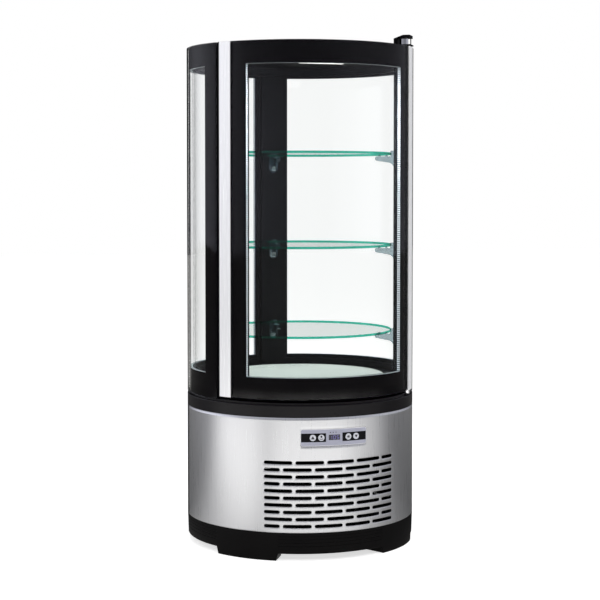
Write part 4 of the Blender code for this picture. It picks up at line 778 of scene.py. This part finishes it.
def makeControls():
    radius = drum["radius"] - panel["sunk"]
    bars = {
        "Left": (-16.55, -4.51), "Right": (3.73, 16.5), "step": 1.0,
        "half": 0.0087, "foot": 0.00005, "rise": 0.00015,
    }
    display = {
        "span": (-3.17, 2.47), "step": 0.7,
        "half": 0.0054, "depth": 0.0002, "back": 0.0015, "edge": 0.0001,
    }
    marks = {"bearings": (-2.35, -0.95, 0.45), "above": 0.0100, "half": 0.0011, "print": (0.00004, 0.0001)}
    # a figure is written as which of its strokes show, in the order of the strokes below
    digits = {
        "figures": ((-2.1, "0000101"), (-0.35, "1011111"), (1.4, "1111001")),
        "level": (0.0034, 0.0006), "upright": (0.0006, 0.0028), "aside": 0.0019, "up": 0.0017,
        "print": (0.00002, 0.00006),
    }
    makeFascia(radius)
    for side in ("Left", "Right"):
        low, high = panelMiddle - bars["half"], panelMiddle + bars["half"]
        profile = block(radius + bars["foot"], radius + bars["rise"], low, high, bars["foot"])
        shape = aroundDrum(profile, *bars[side], bars["step"])
        makePiece("panelBar" + side, [shape], "panelBar", "display_glass")
    face = radius + display["depth"]
    low, high = panelMiddle - display["half"], panelMiddle + display["half"]
    profile = block(radius - display["back"], face, low, high, display["edge"])
    window = aroundDrum(profile, *display["span"], display["step"])
    standIn("display_window", [window], "displayGlass", "display_glass")

    aside, up, (under, over) = digits["aside"], digits["up"], digits["print"]
    strokes = [((0, 2 * up), "level"), ((0, 0), "level"), ((0, -2 * up), "level"), ((-aside, up), "upright"),
               ((aside, up), "upright"), ((-aside, -up), "upright"), ((aside, -up), "upright")]
    square = np.array([(-1, -1), (1, -1), (1, 1), (-1, 1)]) / 2
    shapes = []
    for bearing, shown in digits["figures"]:
        for mark, (centre, way) in zip(shown, strokes):
            if mark == "1":
                points, faces = raised(square * digits[way] + centre, face + under, face + over)
                shapes.append((onCylinder(points, bearing, panelMiddle), faces))
    makePiece("displayDigits", shapes, "displayDigits", "display_glass")
    ring = marks["half"] * ways(np.radians(np.arange(0, 360, 30) + 3.75))
    under, over = marks["print"]
    points, faces = raised(ring, radius + under, radius + over)
    height = panelMiddle + marks["above"]
    shapes = [(onCylinder(points, bearing, height), faces) for bearing in marks["bearings"]]
    makePiece("panelMarks", shapes, "panelInk", "display_glass")


def makeButtons():
    button = {
        "radius": 0.00635, "face": 0.2410, "back": 0.2386, "dish": 0.0003, "dishShare": 0.82,
        "rim": ((0.90, -0.00005), (0.97, 0.0001), (1, 0.0005)),     # share of the radius, depth
        "stem": (0.0022, 0.2316), "icon": 1.3, "print": 0.00004, "segments": 40,
    }
    r, face, back, (stem, stemEnd) = button["radius"], button["face"], button["back"], button["stem"]
    t = np.linspace(0, 1, 7)
    # the face is dished: the depth is 1 - t^2 of the whole at the share t of the way out
    dish = np.column_stack((r * button["dishShare"] * t, face - button["dish"] * (1 - t ** 2)))
    rim = [(r * share, face - depth) for share, depth in button["rim"]]
    rim += [(r, back), (stem, back), (stem, stemEnd), (0, stemEnd)]
    icons = {
        "up": (-10.9, [triangle(0.0028, 1)]),
        "lamp": (-6.8, lampIcon()),
        "defrost": (6.8, starIcon()),
        "down": (10.9, [triangle(0.0026, -1)]),
    }
    points, faces = turned(np.concatenate((dish, rim)), button["segments"])
    for use, (bearing, icon) in icons.items():
        node = "button_" + use
        body = node + "_key"
        shape = toFacing(points, bearing, panelMiddle), faces
        makePiece(use + "Button", [shape], "buttonSilver", "button_silver", node, body)
        prints = []
        for outline in icon:
            low, high = face - button["dish"], face + button["print"]
            signPoints, signFaces = raised(outline * button["icon"], low, high)
            prints.append((toFacing(signPoints, bearing, panelMiddle), signFaces))
        makePiece(use + "Sign", prints, "panelInk", "display_glass", body=body)


def triangle(size, way):
    # it points up or down, and its foot lies three quarters of its size from the middle
    foot = -size * 0.75 * way
    return np.array([(-size, foot), (size, foot), (0, size * way)])


def lampIcon():
    # a bulb over a base line, which is an arc between two radii
    sign = {"bulb": 0.0015, "bulbUp": 0.0016, "bulbTall": 1.15,
            "line": (0.0031, 0.0024), "ends": (1.12, 1.88)}
    way = ways(np.pi * np.linspace(*sign["ends"], 9))
    base = np.concatenate((sign["line"][0] * way, sign["line"][1] * way[::-1]))
    return [ringOutline(sign["bulb"], centre=(0, sign["bulbUp"]), squash=sign["bulbTall"]), base]


def starIcon():
    # six short spokes round a small ring
    sign = {"spoke": (0.0010, 0.0030), "half": 0.00038, "hub": 0.0009}
    spokes = []
    for way in ways(np.radians(np.arange(0, 360, 60))):
        start, end = np.outer(sign["spoke"], way)
        aside = np.array([-way[1], way[0]]) * sign["half"]
        spokes.append(np.array([start - aside, end - aside, end + aside, start + aside]))
    return spokes + [ringOutline(sign["hub"])]


def makeTub():
    low, high = heightsOf("insulated_tub")
    tub = {"outer": 0.1994, "wall": 0.025, "floor": 0.020, "rim": 0.2155, "rimHeight": 0.0276, "edge": 0.0012}
    outer, inner, rim, edge = tub["outer"], tub["outer"] - tub["wall"], tub["rim"], tub["edge"]
    rimLow, floor = high - tub["rimHeight"], low + tub["floor"]
    profile = [(0, low), (outer, low), (outer, rimLow), (rim, rimLow), (rim, high - edge), (rim - edge, high),
               (inner, high), (inner, floor), (0, floor)]
    standIn("insulated_tub", [turned(profile)], "postPaint", "foam_liner")


def makeDeck():
    low, high = heightsOf("deck_plate")
    deck = {"radius": 0.1785, "edge": 0.0010, "slotPlace": (0.045, 0.140), "slotHalf": 0.024,
            "slotRadius": 0.006, "cutDepth": 0.004}
    # a turned plate; the two slots are cut by a Boolean
    rim = deck["radius"] - deck["edge"]
    profile = [(0, high), (rim, high), (deck["radius"], high - deck["edge"]), (deck["radius"], low), (0, low)]
    piece = standIn("deck_plate", [turned(profile)], "deckPaint", "white_deck")
    aside, back = deck["slotPlace"]
    slot = ringOutline(deck["slotRadius"], 24)
    slot[:, 0] += np.copysign(deck["slotHalf"], slot[:, 0])
    cutWith(piece, [raised(slot + (side * aside, back), low - deck["cutDepth"], high + deck["cutDepth"])
                    for side in (-1, 1)])


def cutWith(piece, shapes):
    # the cutter is used once and its object removed, so the piece keeps a finished mesh
    tool = linked("cutTool", meshFrom("cutTool", shapes))
    cut = piece.modifiers.new("cut", "BOOLEAN")
    cut.operation, cut.solver, cut.object = "DIFFERENCE", "EXACT", tool
    bpy.context.view_layer.update()
    mesh = bpy.data.meshes.new_from_object(piece.evaluated_get(bpy.context.evaluated_depsgraph_get()))
    piece.modifiers.remove(cut)
    piece.data = mesh
    bpy.data.objects.remove(tool)
    smooth(mesh)


def makePosts():
    low, high = heightsOf("front_right_post")
    post = {"outer": 0.2155, "flange": 0.2125, "inner": 0.2072, "span": (51.8, 71.0), "rib": (56.0, 65.0)}
    (start, end), (ribStart, ribEnd) = post["span"], post["rib"]
    # the plan: the outer arc, the flange's inner one up to the rib, the rib's, and the flange's again
    flange = post["flange"]
    outline = planArcs((post["outer"], start, end), (flange, end, ribEnd),
                       (post["inner"], ribEnd, ribStart), (flange, ribStart, start))
    for side, flip in (("right", 1), ("left", -1)):
        shape = upward(outline * (flip, 1), low, high)
        makePiece("frontPost" + side.title(), [shape], "postPaint", "black_paint", "front_%s_post" % side)


def makeColumn():
    low, high = heightsOf("rear_column")
    column = {"half": 7.6, "outer": 0.2397, "step": 0.2161, "inner": 0.2072, "edge": 0.0008}
    postLow, postHigh = heightsOf("front_right_post")
    outer, step, inner = column["outer"], column["step"], column["inner"]
    profile = softened([(outer, high), (outer, low), (step, low), (step, postLow), (inner, postLow),
                        (inner, postHigh), (step, postHigh), (step, high)], column["edge"])
    shape = aroundDrum(profile, 180 - column["half"], 180 + column["half"])
    standIn("rear_column", [shape], "postPaint", "black_paint")


def makeHeader():
    low, high = heightsOf("header")
    header = {"radius": 0.2155, "wall": 0.012, "ceiling": 0.008, "edge": 0.0010, "segments": 144}
    radius, edge = header["radius"], header["edge"]
    inner, ceiling = radius - header["wall"], high - header["ceiling"]
    profile = [(0, high), (radius - edge, high), (radius, high - edge), (radius, low + edge),
               (radius - edge, low), (inner + edge, low), (inner, low + edge), (inner, ceiling), (0, ceiling)]
    shape = turned(profile, header["segments"])
    makePiece("headerRing", [shape], "postPaint", "black_paint", "header")
    makeLampBar()
    low, high = heightsOf("roof_cap")
    roof = {"crown": 0.2016, "rise": 0.005, "edge": 0.0012}
    edge, rimTop = roof["edge"], high - roof["rise"]
    profile = [(0, high), (roof["crown"] - 2 * roof["rise"], high), (roof["crown"], rimTop),
               (radius - edge, rimTop), (radius, rimTop - edge), (radius, low), (0, low)]
    standIn("roof_cap", [turned(profile, header["segments"])], "casingPaint", "black_paint")


def makeLampBar():
    # a bar with a rounded cover: each corner is a quarter circle about its own middle
    low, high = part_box("ceiling_lamp")
    bar = {"corner": 0.0035, "edge": 0.001}
    half = np.array([high.x, (high.y - low.y) / 2]) - bar["corner"]
    way = ways(np.radians(np.arange(0, 360, 15) + 7.5))
    outline = np.sign(way) * half + bar["corner"] * way + (0, (low.y + high.y) / 2)
    standIn("ceiling_lamp", [upward(outline, low.z, high.z, bar["edge"])], "lampCover", "lamp_cover")


glazing = {
    "outer": 0.240, "outerPane": 0.004, "spacer": (0.2283, 0.2357), "innerPane": (0.2243, 0.2280),
    "gasket": 0.2161, "print": (0.23575, 0.23592), "window": (0.3667, 0.9924), "rimBearing": 0.8,
    "overlap": (2.4, 0.010), "pocket": (0.1, 0.0003), "pocketRadius": 0.2240,
    "lip": 0.2229, "rebate": (2.0, 0.008), "ease": 0.0008, "outerEdge": 0.0007, "innerEdge": 0.0006,
}
units = {
    "door": {"body": "door", "window": (-44.2, 44.2), "span": (-55.28, 55.28)},
    "right": {"body": "cabinet", "window": (72.3, 170.5), "span": (62.5, 172.2)},
    "left": {"body": "cabinet", "window": (189.5, 287.7), "span": (187.8, 297.5)},
}


def grown(box, bearing, height):
    # a box in (bearing, height), larger on every side
    (b0, z0), (b1, z1) = box
    return (b0 - bearing, z0 - height), (b1 + bearing, z1 + height)


def eased(box, reach):
    # a box larger by the same length both ways
    return grown(box, math.degrees(reach / drum["radius"]), reach)


def makeGlazing(name):
    g, unit = glazing, units[name]
    span, window, body = unit["span"], unit["window"], unit["body"]
    low, high = heightsOf(name + "_outer_glass")
    hole = (window[0], g["window"][0]), (window[1], g["window"][1])

    def around(bearing, height):
        # the window grown, but no nearer to the unit's ends than its rim
        (b0, z0), (b1, z1) = grown(hole, bearing, height)
        return (max(b0, span[0] + g["rimBearing"]), z0), (min(b1, span[1] - g["rimBearing"]), z1)

    def flatRings(outside, inner, outer):
        return [(*hole, outer), (*outside, outer), (*outside, inner), (*hole, inner)]

    seat = around(*g["overlap"])
    pocket = grown(seat, *g["pocket"])
    edge = (span[0], low), (span[1], high)
    rebate = around(*g["rebate"])
    pane = block(g["outer"] - g["outerPane"], g["outer"], low, high, g["outerEdge"])
    standIn(name + "_outer_glass", [aroundDrum(pane, *span)], "drumGlass", "glass", body)
    pane = block(*g["innerPane"], seat[0][1], seat[1][1], g["innerEdge"])
    standIn(name + "_inner_glass", [aroundDrum(pane, seat[0][0], seat[1][0])], "innerGlass", "glass", body)
    across = math.ceil((window[1] - window[0]) / drum["step"])
    ease, inside, outside = g["ease"], g["gasket"], g["spacer"][1]
    rings = [(*hole, g["pocketRadius"]), (*pocket, g["pocketRadius"]), (*pocket, outside), (*edge, outside),
             (*edge, inside), (*eased(rebate, ease), inside), (*eased(rebate, ease / 3), inside + ease / 3),
             (*rebate, inside + ease), (*rebate, g["lip"]), (*eased(hole, ease / 3), g["lip"]),
             (*hole, g["lip"] + ease / 3)]
    standIn(name + "_frame", [framed(rings, across)], "gasketRubber", "black_gasket", body)
    bar = framed(flatRings(seat, *g["spacer"]), across)
    standIn(name + "_spacer", [bar], "perforatedBar", "spacer_bar", body)
    band = framed(flatRings(edge, *g["print"]), across)
    makePiece(name + "Print", [band], "glassPrint", "black_paint", body=body)


def makeProfiles():
    low, high = heightsOf("hinge_profile")
    bar = {
        "proud": 0.2420, "lipInner": 0.2403, "inner": 0.2199, "end": 60.4, "block": 55.4, "lip": 52.4,
        "fillet": 0.0030, "step": 0.8, "edge": 0.0004,
        "seal": 1.15, "sealStep": (0.1, 0.3), "sealEdge": 0.0003,
    }
    proud, inner, end, fillet, step = bar["proud"], bar["inner"], bar["end"], bar["fillet"], bar["step"]
    curveStart = end - math.degrees(fillet / proud)
    middle = drumPoints(proud - fillet, curveStart, 0.0)[:2]
    curve = middle + fillet * ways(np.radians(np.linspace(end - 90, end, 7)))
    seam = end - bar["seal"]
    # two plans: the metal up to the seam, and from there the seal with the quarter circle of its end
    face = planArcs((proud, bar["lip"], seam, step), (inner, seam, bar["block"], step),
                    (bar["lipInner"], bar["block"], bar["lip"], step))
    outside, inside = bar["sealStep"]
    seal = np.concatenate((planArcs((proud, seam, curveStart, outside))[:-1], curve,
                           planArcs((inner, end, seam, inside))))
    for name, flip, finish in (("hinge", (1, 1), "edgeAluminium"), ("handle", (-1, 1), "anodisedAluminium")):
        metal = upward(face * flip, low, high, bar["edge"])
        standIn(name + "_profile", [metal], finish, "aluminium", "door")
        strip = upward(seal * flip, low, high, bar["sealEdge"])
        makePiece(name + "Seal", [strip], "gasketRubber", "black_gasket", body="door")


def makeShelves():
    shelf = {"radius": 0.1945, "edge": 0.0006, "segments": 160, "sharp": 30, "bracketEdge": 0.0007}
    radius, edge = shelf["radius"], shelf["edge"]
    rim = radius - edge
    for level in ("lower", "middle", "upper"):
        low, high = heightsOf("shelf_" + level)
        band = [(rim, high), (radius, high - edge), (radius, low + edge), (rim, low)]
        profiles = ([(0, high), (rim, high)], band, [(rim, low), (0, low)])
        shapes = [turned(profile, shelf["segments"]) for profile in profiles]
        piece = standIn("shelf_" + level, shapes, "shelfFace", "shelf_glass", angle=shelf["sharp"])
        centres = faceCentres(piece)
        paint(piece, "shelfEdge", np.hypot(centres[:, 0], centres[:, 1]) > rim * 0.9999)
        for side in ("left", "right", "rear"):
            node = "bracket_%s_%s" % (level, side)
            refinedNode(node, "bracketPlastic", "clear_plastic", shelf["bracketEdge"])


# The pieces that are CAD nodes with eased edges: the finish, the slot, the width of the edges, the nodes.
refined = (
    ("postPaint", "black_paint", 0.0007, "top_hinge_bracket"),
    ("postPaint", "black_paint", 0.0005, "bottom_hinge_bracket"),
    ("chromePlate", "chrome", 0.0007, "top_hinge_bush bottom_hinge_bush"),
    ("zincSheet", "galvanised_steel", 0.0, "base_pan condenser_shroud"),
    ("greyPlastic", "grey_plastic", 0.0006, "control_housing drip_tray"),
    ("darkPlastic", "grey_plastic", 0.0004, "power_inlet"),
    ("blackEnamel", "black_enamel", 0.0, "condenser condenser_fan_motor compressor evaporator_fan_motor"),
    ("darkPlastic", "grey_plastic", 0.0, "condenser_fan evaporator_fan"),
    ("finAluminium", "fin_aluminium", 0.0, "evaporator"),
)


def makeCamera():
    # the photo's principal row is split between a small shift and a small pitch
    centre = photo["size"] / 2
    pitch = math.atan((centre - photo["horizonRow"] + photo["shift"] * photo["size"]) / photo["focal"])
    camera = bpy.data.cameras.new("camera")
    camera.sensor_width = photo["sensor"]
    camera.lens = photo["focal"] / photo["size"] * photo["sensor"]
    camera.shift_y = photo["shift"]
    camera.shift_x = (centre - photo["axisColumn"]) / photo["size"]
    camera.clip_end = 60.0
    holder = linked("camera", camera)
    turn, distance = math.radians(photo["azimuth"]), photo["distance"]
    holder.location = (distance * math.sin(turn), -distance * math.cos(turn), photo["height"])
    holder.rotation_euler = (math.pi / 2 - pitch, 0, turn)
    bpy.context.scene.camera = holder


studio = {
    "diffuse": 0.42,                      # plain light from all round
    "front": 0.21, "sides": 0.34,         # what smooth faces mirror over the floor
    "left": (0.7, 1.0, 0, 0.70), "leftTurn": -117.0,
    "behind": (-0.97, -0.8),
    "floorSize": 14.0, "floorGlow": 0.66, "farFloor": 0.16,
    "pool": (-0.30, 0.65, 0.08, 1.30),    # what the floor gives steel, by metres in front of the axis
    "poolTurn": -19.0, "poolReach": (2.5, 2.9),
    "outward": (0.4, 2.2, 0.82, 1.50),    # and by metres away from it
    "rightFall": (0.5, 1.0, 1, 0.5),      # and by direction
    "bandSide": -0.5, "band": (0, 0.2, 0.66, 1),
}


def towards(s, spot, bearing):
    # how far a place, or a way of length 1, lies towards a bearing: x sin b - y cos b
    x, y = s.axes(spot)[:2]
    turn = math.radians(bearing)
    return x * math.sin(turn) - y * math.cos(turn)


def lightPath(s):
    # whether a glossy ray looks, and whether the camera does, straight or through glass
    ray = s.add("LightPath")
    seen = s.maths("MAXIMUM", s.part(ray, "Is Camera Ray"), s.part(ray, "Is Transmission Ray"))
    return s.part(ray, "Is Glossy Ray"), seen


def makeWorld():
    world = bpy.data.worlds.new("studio")
    bpy.context.scene.world = world
    s = Shades(world)
    glossy, seen = lightPath(s)
    way = s.part(s.add("TexCoord"), "Generated")
    ahead, left = towards(s, way, photo["azimuth"]), towards(s, way, studio["leftTurn"])
    # dim in front, brighter at the sides, most of all at the left, and dark behind
    around = studio["front"] + studio["sides"] * (1 - ahead * ahead) + s.rise(left, *studio["left"])
    mirrored = around * s.rise(ahead, *studio["behind"], 0.0, 1.0)
    strength = s.blendNumber(seen, s.blendNumber(glossy, studio["diffuse"], mirrored), 1.0)
    hue = s.blendColour(glossy, rgb(255, 255, 255), rgb(240, 242, 255))
    s.finish(s.add("Background", {"Color": hue, "Strength": strength}))


def makeFloor():
    size = studio["floorSize"]
    corners = [(-size, -size, 0), (size, -size, 0), (size, size, 0), (-size, size, 0)]
    mesh = bpy.data.meshes.new("floor")
    mesh.from_pydata(corners, [], [(0, 1, 2, 3)])
    floor = linked("floor", mesh)
    s = newShades("paleFloor")
    glossy, seen = lightPath(s)
    mottle = s.noise(30.0, 2.0)
    lit = s.principled({
        "Base Color": rgb(238, 238, 238), "Roughness": 0.7 + mottle * 0.1, "Specular IOR Level": 0.1})
    glow = s.emission(rgb(255, 255, 255), seen * studio["floorGlow"])
    spot = s.place()
    pool = s.rise(towards(s, spot, studio["poolTurn"]), *studio["pool"])
    away = s.add("VectorMath", {0: spot}, {"operation": "LENGTH"}, 1)
    way = s.add("VectorMath", {0: spot}, {"operation": "NORMALIZE"})
    side = towards(s, way, photo["azimuth"] + 90)
    band = s.rise(s.maths("ABSOLUTE", side - studio["bandSide"]), *studio["band"])
    level = pool * s.rise(away, *studio["outward"]) * s.rise(side, *studio["rightFall"]) * band
    strength = s.blendNumber(s.rise(away, *studio["poolReach"], 1, 0), studio["farFloor"], level)
    mirrored = s.emission(rgb(255, 254, 251), strength)
    shown = s.add("AddShader", {0: lit, 1: glow})
    either = s.add("MixShader", {0: glossy, 1: shown, 2: mirrored})
    floor.data.materials.append(s.finish(either))


# Each lamp: its place, what it is aimed at, its size, and its power in watts.
lamps = {
    "frontSoft": ((-0.9, -3.2, 2.6), (0, 0, 0.45), (2.2, 1.2), 44),
    "leftSoft": ((-3.0, -0.8, 1.9), (0, 0, 0.55), (1.2, 2.0), 20),
    "rightSoft": ((2.8, -1.0, 1.6), (0, 0, 0.6), (1.2, 1.6), 22),
    "topSoft": ((0.2, 0.6, 3.2), (0, 0, 0.6), (2.4, 2.4), 26),
    "caseLamp": ((0, -0.150, 0.996), (0, 0, 0.36), (0.09, 0.014), 3.6),
}


def makeLamp(name, place, target, size, power):
    lamp = bpy.data.lights.new(name, "AREA")
    lamp.shape = "RECTANGLE"
    lamp.size, lamp.size_y = size
    lamp.energy = power
    holder = linked(name, lamp)
    ahead = np.array(target) - place
    ahead /= np.linalg.norm(ahead)
    holder.location = place
    holder.rotation_euler = (math.acos(-ahead[2]), 0, math.atan2(ahead[1], ahead[0]) - math.pi / 2)
    holder.visible_glossy = False


makeSkirt()
makeSkin()
makeCasing()
makeRing()
makeControls()
makeButtons()
print("base made")
makeTub()
makeDeck()
makePosts()
makeColumn()
makeHeader()
for unit in units:
    makeGlazing(unit)
makeProfiles()
makeShelves()
print("cabinet made")
for *look, nodes in refined:
    for node in nodes.split():
        refinedNode(node, *look)
print("hinges and machinery made")
makeCamera()
makeWorld()
makeFloor()
for name, settings in lamps.items():
    makeLamp(name, *settings)
bpy.context.scene.cycles.transparent_max_bounces = 32
bpy.context.scene.view_settings.view_transform = "Standard"
print("scene ready")
